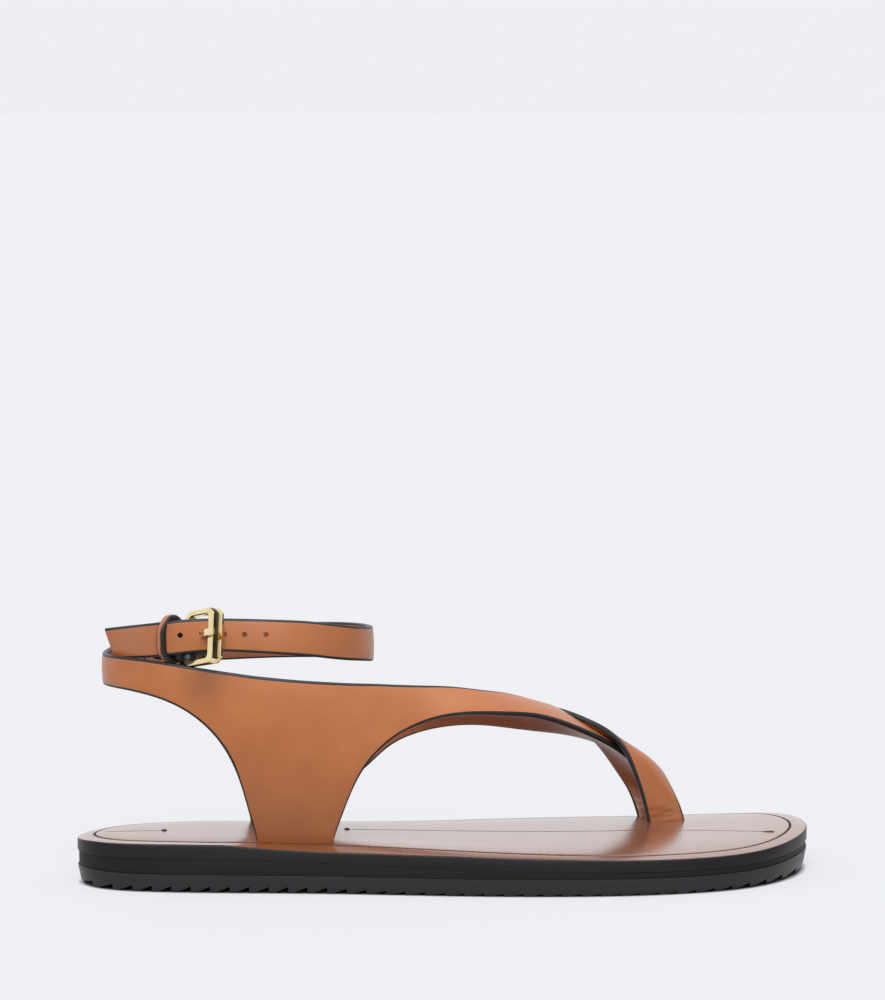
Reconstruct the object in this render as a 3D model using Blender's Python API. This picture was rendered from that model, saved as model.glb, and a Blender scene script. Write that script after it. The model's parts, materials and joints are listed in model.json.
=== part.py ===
"""Flat sandal, right foot: ripple sole, padded footbed, crossed toe loop and buckled ankle strap."""

import math

import bmesh
import bpy
import numpy as np
from mathutils import Matrix, Vector

MM = 0.001
NAME = "flat_sandal"

# Frame: x runs from heel to toe, y to the inner (medial) side, z up, the floor is z = 0. Sizes in mm.
GAP = 0.3
LEATHER_T = 2.0
SLIT_SIDE = 0.6

# Plan of the sole, clockwise from the heel's end: x, y.
OUTLINE = (
    (-129.0, 0.5), (-122.5, -14.5), (-105.0, -23.0), (-75.0, -28.3), (-40.0, -33.4),
    (0.0, -41.3), (38.0, -46.0), (70.0, -45.3), (99.0, -37.2), (119.0, -19.0),
    (129.0, 9.5), (121.8, 36.6), (103.0, 45.4), (74.0, 46.1), (44.0, 44.6),
    (14.0, 39.2), (-20.0, 31.7), (-60.0, 29.0), (-102.0, 26.0), (-121.5, 16.5),
)
OUTLINE_POINTS = 88

# Middle line of the footbed: x, y.
SPINE = ((-98.0, 1.5), (-30.0, -1.0), (30.0, 0.5), (96.0, 4.0))

# Side profile: x, ground line, then the top of the outsole, wedge, midsole and insole edge.
SIDE = (
    (-129.0, 0.8, 6.6, 11.6, 13.4, 15.5),
    (-110.0, 0.0, 6.4, 11.6, 13.5, 15.7),
    (-75.0, 0.0, 6.4, 11.5, 13.4, 15.6),
    (-10.0, 0.0, 6.2, 9.7, 11.6, 13.8),
    (50.0, 0.0, 6.0, 8.3, 10.2, 12.4),
    (90.0, 0.2, 6.1, 8.3, 10.2, 12.4),
    (112.0, 0.8, 6.8, 9.1, 11.0, 13.2),
    (129.0, 1.6, 8.2, 10.7, 12.8, 15.1),
)
GROUND, OUTSOLE_TOP, WEDGE_TOP, MIDSOLE_TOP, INSOLE_TOP = 1, 2, 3, 4, 5
CROWN = 1.6
CROWN_POWER = 3.0
CROWN_SHARES = (0.0, 0.07, 0.15, 0.32, 0.62, 1.0)
OUTSOLE_DRAFT = 1.2
WEDGE_RECESS = 0.5

# Ripple tread: a flat land, then a ramp up to the next tooth's upright face.
TOOTH_PITCH = 6.7
TOOTH_LAND = 2.6
TOOTH_DEPTH = 1.9
TOOTH_FIRST_X = -127.0
TOOTH_COUNT = 38

# Strap sections: x, y, z of one edge, x, y, z of the other edge, bow of the face between them.
# Ankle strap from its loose end, round the ankle and the heel, into the outer panel, then the
# toe strap that ends on the big toe's inner side.
OUTER_STRAP = (
    (-113.4, -9.6, 78.6, -118.8, -11.6, 89.2, 0.2),
    (-109.8, -17.4, 81.8, -111.4, -18.4, 91.3, 0.2),
    (-101.5, -27.6, 83.2, -101.5, -27.6, 93.6, 0.3),
    (-91.5, -31.0, 84.2, -91.5, -31.0, 94.8, 0.3),
    (-79.0, -32.0, 84.1, -78.5, -31.7, 95.5, 0.3),
    (-60.5, -32.0, 83.1, -60.5, -31.8, 95.1, 0.4),
    (-49.5, -29.4, 81.8, -49.5, -29.0, 94.1, 0.4),
    (-38.8, -23.2, 79.7, -38.8, -22.6, 92.0, 0.4),
    (-29.8, -12.5, 77.7, -30.0, -12.0, 90.0, 0.4),
    (-26.6, 1.5, 75.9, -26.8, 1.5, 88.2, 0.4),
    (-30.6, 15.5, 74.8, -30.8, 15.3, 87.2, 0.4),
    (-42.0, 27.0, 74.0, -42.1, 26.6, 86.5, 0.4),
    (-58.0, 33.5, 73.3, -58.0, 33.0, 86.0, 0.4),
    (-75.0, 35.0, 72.6, -75.0, 34.5, 85.3, 0.4),
    (-92.0, 31.6, 72.1, -92.0, 31.2, 84.3, 0.4),
    (-106.4, 22.8, 71.3, -106.4, 22.4, 82.9, 0.4),
    (-116.0, 10.5, 70.4, -116.0, 10.3, 81.4, 0.4),
    (-119.4, -2.5, 69.8, -119.4, -2.5, 80.8, 0.4),
    (-116.6, -15.0, 70.0, -116.5, -15.0, 81.2, 0.4),
    (-105.0, -25.9, 68.7, -104.8, -25.9, 80.5, 0.4),
    (-91.8, -31.2, 63.5, -91.0, -31.8, 79.3, 0.4),
    (-81.4, -31.8, 54.0, -82.0, -33.2, 77.9, 0.4),
    (-74.4, -30.4, 40.6, -76.0, -33.6, 77.0, 1.1),
    (-69.9, -26.4, 25.0, -71.4, -33.7, 76.3, 2.4),
    (-67.8, -22.8, 16.0, -68.6, -33.7, 75.9, 3.4),
    (-66.6, -20.2, 9.0, -66.0, -33.6, 75.6, 4.1),
    (-54.8, -22.2, 9.0, -54.2, -33.0, 74.3, 4.3),
    (-42.9, -23.9, 9.0, -42.0, -31.4, 73.2, 4.1),
    (-41.6, -26.2, 16.0, -39.6, -31.0, 73.0, 3.3),
    (-39.2, -29.2, 25.0, -36.0, -30.3, 72.7, 2.4),
    (-32.7, -30.6, 40.7, -27.8, -28.0, 72.1, 1.8),
    (-22.8, -28.9, 51.9, -17.7, -24.0, 71.1, 1.2),
    (-13.6, -26.5, 57.2, -9.8, -20.0, 70.3, 1.0),
    (-3.9, -23.0, 59.8, -0.3, -14.0, 69.1, 0.9),
    (8.4, -16.5, 60.1, 11.7, -6.0, 66.6, 0.9),
    (21.1, -8.5, 58.9, 22.5, 3.5, 63.8, 0.9),
    (33.1, 0.5, 56.7, 32.3, 12.0, 60.1, 0.9),
    (45.5, 10.5, 51.6, 40.7, 20.3, 56.6, 1.2),
    (57.1, 20.0, 45.2, 48.0, 27.0, 51.2, 1.6),
    (66.1, 27.0, 38.1, 53.6, 32.5, 44.7, 1.7),
    (72.6, 32.0, 32.3, 59.2, 38.0, 37.9, 1.2),
    (79.0, 37.2, 24.2, 66.5, 43.0, 29.0, 0.5),
    (83.4, 39.6, 17.0, 70.9, 42.6, 19.5, 0.3),
    (85.8, 39.4, 9.0, 73.8, 39.2, 9.0, 0.0),
)

# Inner panel from its lap inside the ankle strap to the toe strap on the big toe's outer side.
INNER_STRAP = (
    (-105.4, 22.3, 73.0, -105.0, 22.5, 81.0, 0.2),
    (-99.2, 27.1, 70.5, -98.4, 27.5, 79.0, 0.3),
    (-91.5, 30.1, 65.0, -91.0, 30.9, 74.4, 0.4),
    (-83.0, 30.6, 56.0, -83.4, 32.0, 66.8, 0.6),
    (-75.5, 29.6, 43.0, -76.0, 32.2, 64.6, 1.2),
    (-70.2, 26.6, 27.0, -70.0, 31.8, 64.4, 1.9),
    (-67.8, 22.8, 16.0, -66.8, 31.6, 64.4, 2.8),
    (-66.6, 20.4, 9.0, -63.0, 31.4, 64.4, 3.5),
    (-55.0, 21.0, 9.0, -53.0, 30.8, 63.6, 3.7),
    (-43.3, 21.3, 9.0, -43.0, 30.0, 63.0, 3.5),
    (-41.4, 24.0, 16.0, -40.4, 29.7, 62.8, 2.8),
    (-37.5, 27.0, 25.0, -37.0, 29.2, 62.6, 2.0),
    (-27.6, 29.6, 33.0, -28.0, 27.6, 62.0, 1.6),
    (-18.4, 30.6, 41.2, -18.0, 25.6, 61.2, 1.3),
    (-9.4, 31.2, 46.0, -8.0, 23.8, 60.4, 1.1),
    (0.9, 31.8, 48.6, 2.0, 22.6, 59.6, 1.0),
    (13.1, 32.6, 49.3, 13.0, 22.0, 59.0, 1.0),
    (25.4, 33.6, 48.0, 25.0, 21.8, 58.2, 1.0),
    (36.6, 34.8, 46.5, 35.0, 22.0, 57.2, 1.0),
    (48.6, 37.0, 44.6, 43.5, 22.4, 55.4, 0.9),
    (61.5, 39.0, 40.4, 52.6, 22.8, 51.8, 1.6),
    (72.4, 36.6, 35.0, 60.6, 22.6, 47.2, 2.1),
    (79.1, 30.0, 32.4, 66.2, 21.8, 41.4, 1.3),
    (83.0, 26.0, 25.6, 70.4, 21.4, 32.6, 0.7),
    (86.0, 23.8, 17.4, 73.6, 22.6, 20.0, 0.3),
    (87.0, 23.4, 9.0, 75.4, 23.5, 9.0, 0.0),
)

# Tab that rises from its lap inside the outer panel to the buckle, and its tongue under the keeper.
BUCKLE_TAB = (
    (-96.6, -28.2, 67.0, -90.5, -29.9, 65.0, 0.0),
    (-95.4, -27.6, 75.0, -90.0, -29.2, 74.4, 0.0),
    (-93.5, -24.8, 81.0, -90.2, -25.4, 80.8, 0.0),
    (-93.3, -24.4, 85.6, -91.0, -25.2, 85.6, 0.0),
    (-93.3, -24.2, 92.0, -91.2, -25.0, 92.0, 0.0),
)
TAB_TONGUE = (
    (-102.6, -23.4, 83.6, -102.6, -23.0, 91.6, 0.0),
    (-100.6, -24.9, 83.7, -100.6, -24.5, 91.7, 0.0),
    (-96.5, -26.5, 84.0, -96.5, -26.0, 91.6, 0.0),
    (-92.2, -26.2, 84.2, -92.2, -25.8, 91.6, 0.0),
)
TONGUE_T = 1.6
ROLL_R = 1.9
ROLL_L = 8.0
ROLL_BORE_R = 1.1
NOTCH = (5.0, 3.4, 5.0)
SECTION_STEPS = 2
FACE_STEPS = 3

# Level cut under the strap feet: first x, last x, level.
FEET = ((-75.0, -35.0, 14.0), (65.0, 95.0, 11.0))

# Slits of the footbed, one for each strap foot: middle x, y, length, turn in degrees.
SLITS = (
    (-54.6, -23.0, 30.8, -7.6),
    (-54.7, 21.95, 30.6, 2.0),
    (80.9, 24.4, 14.2, 0.0),
    (79.3, 38.9, 15.2, 0.0),
)
SLIT_HALF_W = 0.5 * LEATHER_T + SLIT_SIDE + 0.5

# Buckle: its frame turns out from the strap, leans back and rolls. Middle of the pivot bar.
PIVOT = (-90.4, -25.6, 88.4)
BUCKLE_YAW = 50.0
BUCKLE_LEAN = 10.0
BUCKLE_ROLL = 14.0
FRAME_W = 12.9
FRAME_H = 17.8
FRAME_BAR = 1.9
FRAME_DEPTH = 2.6
FRAME_CORNER = 2.8
PIVOT_R = 0.8
PRONG_W = 2.0
PRONG_T = 1.2
PRONG_LIFT = 0.3
COLLAR_R = 1.9
COLLAR_H = 2.4

# Punched holes of the ankle strap: x, z.
HOLES = ((-101.8, 90.0), (-93.6, 90.4), (-78.6, 90.6), (-71.9, 90.5), (-64.5, 90.3))
HOLE_R = 0.95
PRONG_HOLE_R = 1.75

# Keeper loop round the tab and the loose end.
KEEPER_AT = (-98.4, -26.1, 88.4)
KEEPER_YAW = 38.0
KEEPER_BAND = 3.0
KEEPER_T = 1.5
KEEPER_INSIDE = (7.4, 12.4)
KEEPER_CORNER = 1.0


def spline(points, closed=False):
    """A smooth curve through the points: a function of the length run along them, and that length."""
    points = np.asarray(points, float)
    if closed:
        points = np.vstack([points[-4:], points, points[:5]])
    step = np.linalg.norm(np.diff(points, axis=0), axis=1) ** 0.5
    at = np.concatenate([[0.0], np.cumsum(step)])
    count = len(points)
    left = np.zeros((count, count))
    right = np.zeros_like(points)
    left[0, 0] = left[-1, -1] = 1.0
    for i in range(1, count - 1):
        left[i, i - 1] = step[i - 1]
        left[i, i] = 2.0 * (step[i - 1] + step[i])
        left[i, i + 1] = step[i]
        right[i] = 6.0 * ((points[i + 1] - points[i]) / step[i] - (points[i] - points[i - 1]) / step[i - 1])
    bend = np.linalg.solve(left, right)

    def curve(t):
        t = np.atleast_1d(np.asarray(t, float))
        i = np.clip(np.searchsorted(at, t, side="right") - 1, 0, count - 2)
        a = ((at[i + 1] - t) / step[i])[:, None]
        b = ((t - at[i]) / step[i])[:, None]
        h2 = (step[i] ** 2 / 6.0)[:, None]
        return a * points[i] + b * points[i + 1] + ((a**3 - a) * bend[i] + (b**3 - b) * bend[i + 1]) * h2

    if closed:
        return curve, at[4], at[-5]
    return curve, at[0], at[-1]


def outline_points(count):
    """The plan at paired stations: one x holds a point of each side, closer together at the round ends."""
    curve, start, end = spline(OUTLINE, closed=True)
    fine = curve(np.linspace(start, end, 4001))[:-1]
    fine = np.roll(fine, -int(np.argmin(fine[:, 0])), axis=0)
    toe = int(np.argmax(fine[:, 0]))
    outer = fine[: toe + 1]
    inner = np.vstack([fine[toe:], fine[:1]])[::-1]
    middle = 0.5 * (fine[0, 0] + fine[toe, 0])
    reach = 0.5 * (fine[toe, 0] - fine[0, 0])
    x = middle + reach * np.sin(0.5 * math.pi * np.linspace(-1.0, 1.0, count // 2 + 1))
    one = np.column_stack([x, np.interp(x, outer[:, 0], outer[:, 1])])
    other = np.column_stack([x, np.interp(x, inner[:, 0], inner[:, 1])])
    return np.vstack([one, other[-2:0:-1]])


def side_height(x, column):
    rows = np.asarray(SIDE)
    curve, start, end = spline(rows[:, [0, column]])
    fine = curve(np.linspace(start, end, 400))
    return np.maximum(np.interp(x, fine[:, 0], fine[:, 1]), 0.0)


def spine_of(plan):
    rows = np.asarray(SPINE)
    x = np.clip(plan[:, 0], rows[0, 0], rows[-1, 0])
    return np.column_stack([x, np.interp(x, rows[:, 0], rows[:, 1])])


def inset(plan, distance):
    """The outline moved in by a distance, square to itself."""
    along = np.roll(plan, -1, axis=0) - np.roll(plan, 1, axis=0)
    along /= np.linalg.norm(along, axis=1)[:, None]
    return plan + distance * np.column_stack([-along[:, 1], along[:, 0]])


def material(name, colour, roughness, metallic=0.0):
    made = bpy.data.materials.new(name)
    made.use_nodes = True
    made.diffuse_color = (*colour, 1.0)
    shader = made.node_tree.nodes["Principled BSDF"]
    shader.inputs["Base Color"].default_value = (*colour, 1.0)
    shader.inputs["Roughness"].default_value = roughness
    shader.inputs["Metallic"].default_value = metallic
    return made


def new_object(name, collection, points, faces, look=None):
    """A closed mesh from points in mm, its faces turned outwards."""
    mesh = bpy.data.meshes.new(name)
    mesh.from_pydata([tuple(MM * float(c) for c in p) for p in points], [], faces)
    work = bmesh.new()
    work.from_mesh(mesh)
    bmesh.ops.remove_doubles(work, verts=work.verts, dist=1e-6)
    bmesh.ops.recalc_face_normals(work, faces=work.faces)
    if work.calc_volume(signed=True) < 0:
        bmesh.ops.reverse_faces(work, faces=work.faces)
    work.to_mesh(mesh)
    work.free()
    made = bpy.data.objects.new(name, mesh)
    collection.objects.link(made)
    if look:
        mesh.materials.append(look)
    return made


def boolean(target, cutter, operation="DIFFERENCE"):
    modifier = target.modifiers.new(operation.lower() + "_" + cutter.name, "BOOLEAN")
    modifier.operation = operation
    modifier.solver = "EXACT"
    modifier.object = cutter


def helper(made):
    made.hide_render = True
    made.display_type = "WIRE"
    return made


def ring_faces(rings, count):
    """Quads between neighbouring rings of points that each hold the same count."""
    faces = []
    for k in range(rings - 1):
        for i in range(count):
            j = (i + 1) % count
            faces.append((k * count + i, k * count + j, (k + 1) * count + j, (k + 1) * count + i))
    return faces


def sole_layer(name, low, top, low_inset, top_inset, low_gap, look, crown=0.0):
    """One layer of the sole between two lines of the side profile."""
    plan = outline_points(OUTLINE_POINTS)
    spine = spine_of(plan)
    shares = CROWN_SHARES if crown else (0.0, 1.0)
    rings = []

    def ring(edge, share, column, lift):
        flat = edge + share * (spine - edge)
        return np.column_stack([flat, side_height(flat[:, 0], column) + lift])

    low_edge = inset(plan, low_inset)
    top_edge = inset(plan, top_inset)
    rings.append(ring(low_edge, 1.0, low, low_gap))
    rings.append(ring(low_edge, 0.0, low, low_gap))
    for share in shares:
        rings.append(ring(top_edge, share, top, crown * (1.0 - (1.0 - share) ** CROWN_POWER)))
    points = np.vstack(rings)
    return new_object(name, PARTS, points, ring_faces(len(rings), len(plan)), look)


def strap_solid(name, rows, collection, look=None, thickness=LEATHER_T, side=1.0):
    """A leather strap through its sections, its outer face on them and its thickness inwards."""
    rows = np.asarray(rows, float)
    one, other, bow = rows[:, 0:3], rows[:, 3:6], rows[:, 6:7]
    curve, start, end = spline(np.hstack([one, other, bow]))
    # The curve's own parameter follows all seven columns, so that both edges stay in step.
    span = np.linspace(start, end, (len(rows) - 1) * SECTION_STEPS + 1)
    sections = curve(span)
    one, other, bow = sections[:, 0:3], sections[:, 3:6], sections[:, 6]
    across = np.linspace(0.0, 1.0, FACE_STEPS + 1)[None, :, None]
    # The bow stands square to the section and to the run of the second edge, which has no corners.
    over = (other - one)[:, None]
    rise = side * np.cross(over, np.gradient(other, axis=0)[:, None])
    rise *= bow[:, None, None] / np.linalg.norm(rise, axis=2)[:, :, None]
    grid = one[:, None] + across * over + 4.0 * across * (1.0 - across) * rise
    slope = over + 4.0 * (1.0 - 2.0 * across) * rise
    normal = side * np.cross(slope, np.gradient(grid, axis=0))
    normal /= np.linalg.norm(normal, axis=2)[:, :, None]
    back = grid - thickness * normal
    count = 2 * (FACE_STEPS + 1)
    loops = np.concatenate([grid, back[:, ::-1]], axis=1)
    points = loops.reshape(-1, 3)
    faces = ring_faces(len(loops), count)
    faces.append(tuple(range(count)))
    faces.append(tuple((len(loops) - 1) * count + i for i in range(count)))
    return new_object(name, collection, points, faces, look)


def placed_box(name, size, middle, turn, collection):
    work = bmesh.new()
    matrix = Matrix.Translation(Vector(middle) * MM) @ turn.to_4x4() @ Matrix.Diagonal((*[s * MM for s in size], 1.0))
    bmesh.ops.create_cube(work, size=1.0, matrix=matrix)
    mesh = bpy.data.meshes.new(name)
    work.to_mesh(mesh)
    work.free()
    made = bpy.data.objects.new(name, mesh)
    collection.objects.link(made)
    return made


def placed_rod(name, radius, length, middle, turn, collection, sides=16):
    work = bmesh.new()
    matrix = Matrix.Translation(Vector(middle) * MM) @ turn.to_4x4()
    bmesh.ops.create_cone(work, cap_ends=True, segments=sides, radius1=radius * MM, radius2=radius * MM,
                          depth=length * MM, matrix=matrix)
    mesh = bpy.data.meshes.new(name)
    work.to_mesh(mesh)
    work.free()
    made = bpy.data.objects.new(name, mesh)
    collection.objects.link(made)
    return made


def chamfered(width, height, corner):
    """Corners of a rectangle with its corners cut off, from its middle."""
    a, b = 0.5 * width, 0.5 * height
    c = corner
    return [(-a + c, -b), (a - c, -b), (a, -b + c), (a, b - c), (a - c, b), (-a + c, b), (-a, b - c), (-a, -b + c)]


def buckle_turn():
    """Columns: along the frame to its front bar, up the bars, out of the frame."""
    yaw, lean, roll = (math.radians(a) for a in (BUCKLE_YAW, BUCKLE_LEAN, BUCKLE_ROLL))
    along = Vector((math.cos(yaw), -math.sin(yaw), 0.0))
    out = Vector((-math.sin(yaw), -math.cos(yaw), 0.0))
    up = Vector((0.0, 0.0, 1.0))
    up, out = up * math.cos(lean) - out * math.sin(lean), out * math.cos(lean) + up * math.sin(lean)
    along, up = along * math.cos(roll) + up * math.sin(roll), up * math.cos(roll) - along * math.sin(roll)
    return Matrix((along, up, out)).transposed()


def frame_band(name, outer, inner, depth, middle, turn, collection, look=None):
    """A flat frame between two loops of corners, as thick as depth."""
    count = len(outer)
    points = []
    for loop, level in ((inner, -0.5), (outer, -0.5), (outer, 0.5), (inner, 0.5), (inner, -0.5)):
        for x, y in loop:
            points.append(Vector(middle) + turn @ Vector((x, y, level * depth)))
    return new_object(name, collection, points, ring_faces(5, count), look)


for old in list(bpy.data.objects):
    bpy.data.objects.remove(old, do_unlink=True)
PARTS = bpy.data.collections.new(NAME)
CUTTERS = bpy.data.collections.new(NAME + "_cutters")
bpy.context.scene.collection.children.link(PARTS)
bpy.context.scene.collection.children.link(CUTTERS)

tan_leather = material("tan_leather", (0.48, 0.17, 0.065), 0.5)
footbed_leather = material("footbed_leather", (0.42, 0.16, 0.08), 0.4)
grey_rubber = material("grey_rubber", (0.035, 0.035, 0.04), 0.6)
black_rubber = material("black_rubber", (0.012, 0.012, 0.013), 0.55)
edge_rubber = material("edge_rubber", (0.04, 0.04, 0.045), 0.5)
gold = material("pale_gold", (0.83, 0.70, 0.45), 0.18, 1.0)

# Sole
outsole = sole_layer("outsole", GROUND, OUTSOLE_TOP, OUTSOLE_DRAFT, 0.0, 0.0, grey_rubber)
sole_layer("midsole_wedge", OUTSOLE_TOP, WEDGE_TOP, WEDGE_RECESS, WEDGE_RECESS, GAP, black_rubber)
sole_layer("midsole", WEDGE_TOP, MIDSOLE_TOP, 0.0, 0.0, GAP, edge_rubber)
insole = sole_layer("insole", MIDSOLE_TOP, INSOLE_TOP, 0.0, 0.2, GAP, footbed_leather, CROWN)

tread_points, tread_faces = [], []
for tooth in range(TOOTH_COUNT):
    heel_x = TOOTH_FIRST_X + tooth * TOOTH_PITCH
    toe_x = heel_x + TOOTH_PITCH
    ground = float(side_height(0.5 * (heel_x + toe_x), GROUND))
    ramp = TOOTH_DEPTH / (TOOTH_PITCH - TOOTH_LAND)
    start = len(tread_points)
    for y in (-70.0, 70.0):
        tread_points.append((heel_x + TOOTH_LAND - 1.0 / ramp, y, ground - 1.0))
        tread_points.append((toe_x, y, ground + TOOTH_DEPTH))
        tread_points.append((toe_x, y, ground - 1.0))
    tread_faces.append((start, start + 1, start + 2))
    tread_faces.append((start + 5, start + 4, start + 3))
    for i in range(3):
        j = (i + 1) % 3
        tread_faces.append((start + i, start + j, start + 3 + j, start + 3 + i))
tread = helper(new_object("tread_cutter", CUTTERS, tread_points, tread_faces))
boolean(outsole, tread)

for number, (x, y, length, turn) in enumerate(SLITS):
    slit = placed_box(f"slit_{number + 1}", (length, 2.0 * SLIT_HALF_W, 16.0), (x, y, 13.0),
                      Matrix.Rotation(math.radians(turn), 3, "Z"), CUTTERS)
    boolean(insole, helper(slit))

# Upper
upper = strap_solid("upper", OUTER_STRAP, PARTS, tan_leather, side=-1.0)
inner = helper(strap_solid("inner_strap", INNER_STRAP, CUTTERS))
boolean(upper, inner, "UNION")
for number, (first_x, last_x, level) in enumerate(FEET):
    cut = placed_box(f"foot_cut_{number + 1}", (last_x - first_x, 140.0, 20.0),
                     (0.5 * (first_x + last_x), 0.0, level - 10.0), Matrix.Identity(3), CUTTERS)
    boolean(upper, helper(cut))
TURN = buckle_turn()
UPRIGHT = TURN @ Matrix.Rotation(math.radians(-90.0), 3, "X")
tab = helper(strap_solid("buckle_tab", BUCKLE_TAB, CUTTERS))
boolean(tab, helper(strap_solid("tab_tongue", TAB_TONGUE, CUTTERS, None, TONGUE_T, -1.0)), "UNION")
boolean(tab, helper(placed_rod("tab_roll", ROLL_R, ROLL_L, PIVOT, UPRIGHT, CUTTERS)), "UNION")
boolean(tab, helper(placed_rod("tab_bore", ROLL_BORE_R, 3.0 * ROLL_L, PIVOT, UPRIGHT, CUTTERS)))
boolean(tab, helper(placed_box("tab_notch", NOTCH, PIVOT, TURN, CUTTERS)))
boolean(upper, tab, "UNION")
for number, (x, z) in enumerate(HOLES):
    hole = placed_rod(f"hole_{number + 1}", HOLE_R, 8.0, (x, -31.0, z),
                      Matrix.Rotation(math.radians(90.0), 3, "X"), CUTTERS, 12)
    boolean(upper, helper(hole))
prong_way = placed_rod("prong_way", PRONG_HOLE_R, FRAME_W - 3.0,
                       Vector(PIVOT) + TURN @ Vector((0.5 * FRAME_W, 0.0, PRONG_LIFT)),
                       TURN @ Matrix.Rotation(math.radians(90.0), 3, "Y"), CUTTERS, 16)
boolean(upper, helper(prong_way))

# Keeper
turn = Matrix.Rotation(math.radians(-KEEPER_YAW), 3, "Z") @ Matrix.Rotation(math.radians(90.0), 3, "Y")
turn = turn @ Matrix.Rotation(math.radians(90.0), 3, "Z")
depth_in, height_in = KEEPER_INSIDE
frame_band("keeper",
           chamfered(depth_in + 2.0 * KEEPER_T, height_in + 2.0 * KEEPER_T, KEEPER_CORNER + 0.6),
           chamfered(depth_in, height_in, KEEPER_CORNER), KEEPER_BAND, KEEPER_AT, turn, PARTS, tan_leather)

# Buckle
middle = Vector(PIVOT) + TURN @ Vector((0.5 * FRAME_W, 0.0, 0.0))
frame = frame_band("buckle_frame", chamfered(FRAME_W + FRAME_BAR, FRAME_H, FRAME_CORNER),
                   chamfered(FRAME_W - FRAME_BAR, FRAME_H - 2.0 * FRAME_BAR, FRAME_CORNER - 0.8),
                   FRAME_DEPTH, middle, TURN, PARTS, gold)
boolean(frame, helper(placed_box("pivot_space", (FRAME_BAR + 1.0, ROLL_L + 2.0, FRAME_DEPTH + 1.0),
                                 PIVOT, TURN, CUTTERS)))
boolean(frame, helper(placed_rod("pivot_bar", PIVOT_R, FRAME_H - 2.5, PIVOT, UPRIGHT, CUTTERS)), "UNION")
tip = FRAME_W + 0.5 * FRAME_BAR + 0.6
top = 0.5 * FRAME_DEPTH + GAP
PRONG_SIDE = ((0.0, -0.5 * PRONG_T), (0.0, 0.5 * PRONG_T), (0.5, 0.9 * PRONG_T), (0.76, top + PRONG_T),
              (1.0, top + PRONG_T), (1.0, top), (0.78, top), (0.58, -0.1))
points = []
for side in (-0.5, 0.5):
    for share, level in PRONG_SIDE:
        points.append(Vector(PIVOT) + TURN @ Vector((share * tip, side * PRONG_W, level)))
count = len(PRONG_SIDE)
faces = [tuple(range(count)), tuple(range(2 * count - 1, count - 1, -1))]
for i in range(count):
    j = (i + 1) % count
    faces.append((i, j, count + j, count + i))
prong = new_object("buckle_prong", PARTS, points, faces, gold)
boolean(prong, helper(placed_rod("collar", COLLAR_R, COLLAR_H, PIVOT, UPRIGHT, CUTTERS)), "UNION")
boolean(prong, helper(placed_rod("collar_bore", PIVOT_R + GAP, 2.0 * FRAME_H, PIVOT, UPRIGHT, CUTTERS)))
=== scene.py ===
"""Flat sandal, right foot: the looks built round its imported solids."""

import json
import math

import bmesh
import bpy
import numpy as np
from mathutils import Matrix, Vector

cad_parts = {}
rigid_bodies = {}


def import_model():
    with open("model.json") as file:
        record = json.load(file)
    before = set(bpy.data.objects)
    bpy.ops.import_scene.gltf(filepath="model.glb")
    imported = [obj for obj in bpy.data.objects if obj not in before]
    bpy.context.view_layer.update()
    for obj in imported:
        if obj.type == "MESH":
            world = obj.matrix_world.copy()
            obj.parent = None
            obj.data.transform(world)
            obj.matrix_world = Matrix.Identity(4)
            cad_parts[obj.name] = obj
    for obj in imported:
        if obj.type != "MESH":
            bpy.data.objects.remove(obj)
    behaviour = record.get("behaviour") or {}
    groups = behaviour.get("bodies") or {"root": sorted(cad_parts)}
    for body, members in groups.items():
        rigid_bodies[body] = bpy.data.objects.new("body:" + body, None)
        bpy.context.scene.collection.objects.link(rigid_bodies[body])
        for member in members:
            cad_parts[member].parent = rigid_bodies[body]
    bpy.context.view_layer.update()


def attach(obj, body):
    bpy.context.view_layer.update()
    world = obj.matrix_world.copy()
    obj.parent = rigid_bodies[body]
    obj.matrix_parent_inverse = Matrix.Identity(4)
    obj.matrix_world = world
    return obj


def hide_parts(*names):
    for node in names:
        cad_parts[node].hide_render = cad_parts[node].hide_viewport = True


for old in list(bpy.data.objects):
    bpy.data.objects.remove(old, do_unlink=True)
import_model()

MM = 0.001

# Sizes in mm, in the part's frame: x from heel to toe, y to the inner side, z up, the floor is z = 0.
LEATHER_T = 2.0

# Plan of the sole, counterclockwise seen from above, from the heel's end: x, y.
OUTLINE = (
    (-129.0, 0.5), (-122.5, -14.5), (-105.0, -23.0), (-75.0, -28.3), (-40.0, -33.4),
    (0.0, -41.3), (38.0, -46.0), (70.0, -45.3), (99.0, -37.2), (119.0, -19.0),
    (129.0, 9.5), (121.8, 36.6), (103.0, 45.4), (74.0, 46.1), (44.0, 44.6),
    (14.0, 39.2), (-20.0, 31.7), (-60.0, 29.0), (-102.0, 26.0), (-121.5, 16.5),
)

# Side profile: x, ground line, then the top of the outsole, wedge, midsole and insole edge.
SIDE = (
    (-129.0, 0.8, 6.6, 11.6, 13.4, 15.5),
    (-110.0, 0.0, 6.4, 11.6, 13.5, 15.7),
    (-75.0, 0.0, 6.4, 11.5, 13.4, 15.6),
    (-10.0, 0.0, 6.2, 9.7, 11.6, 13.8),
    (50.0, 0.0, 6.0, 8.3, 10.2, 12.4),
    (90.0, 0.2, 6.1, 8.3, 10.2, 12.4),
    (112.0, 0.8, 6.8, 9.1, 11.0, 13.2),
    (129.0, 1.6, 8.2, 10.7, 12.8, 15.1),
)
GROUND, OUTSOLE_TOP, WEDGE_TOP, MIDSOLE_TOP, INSOLE_TOP = 1, 2, 3, 4, 5
OUTSOLE_DRAFT = 1.2
WEDGE_RECESS = 0.5
TOOTH_PITCH = 6.637
TOOTH_LAND = 1.7
TOOTH_FIRST_X = -130.48
TOOTH_COUNT = 39
TOOTH_EDGE = 0.02
TOOTH_TURN = 1.4

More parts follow.
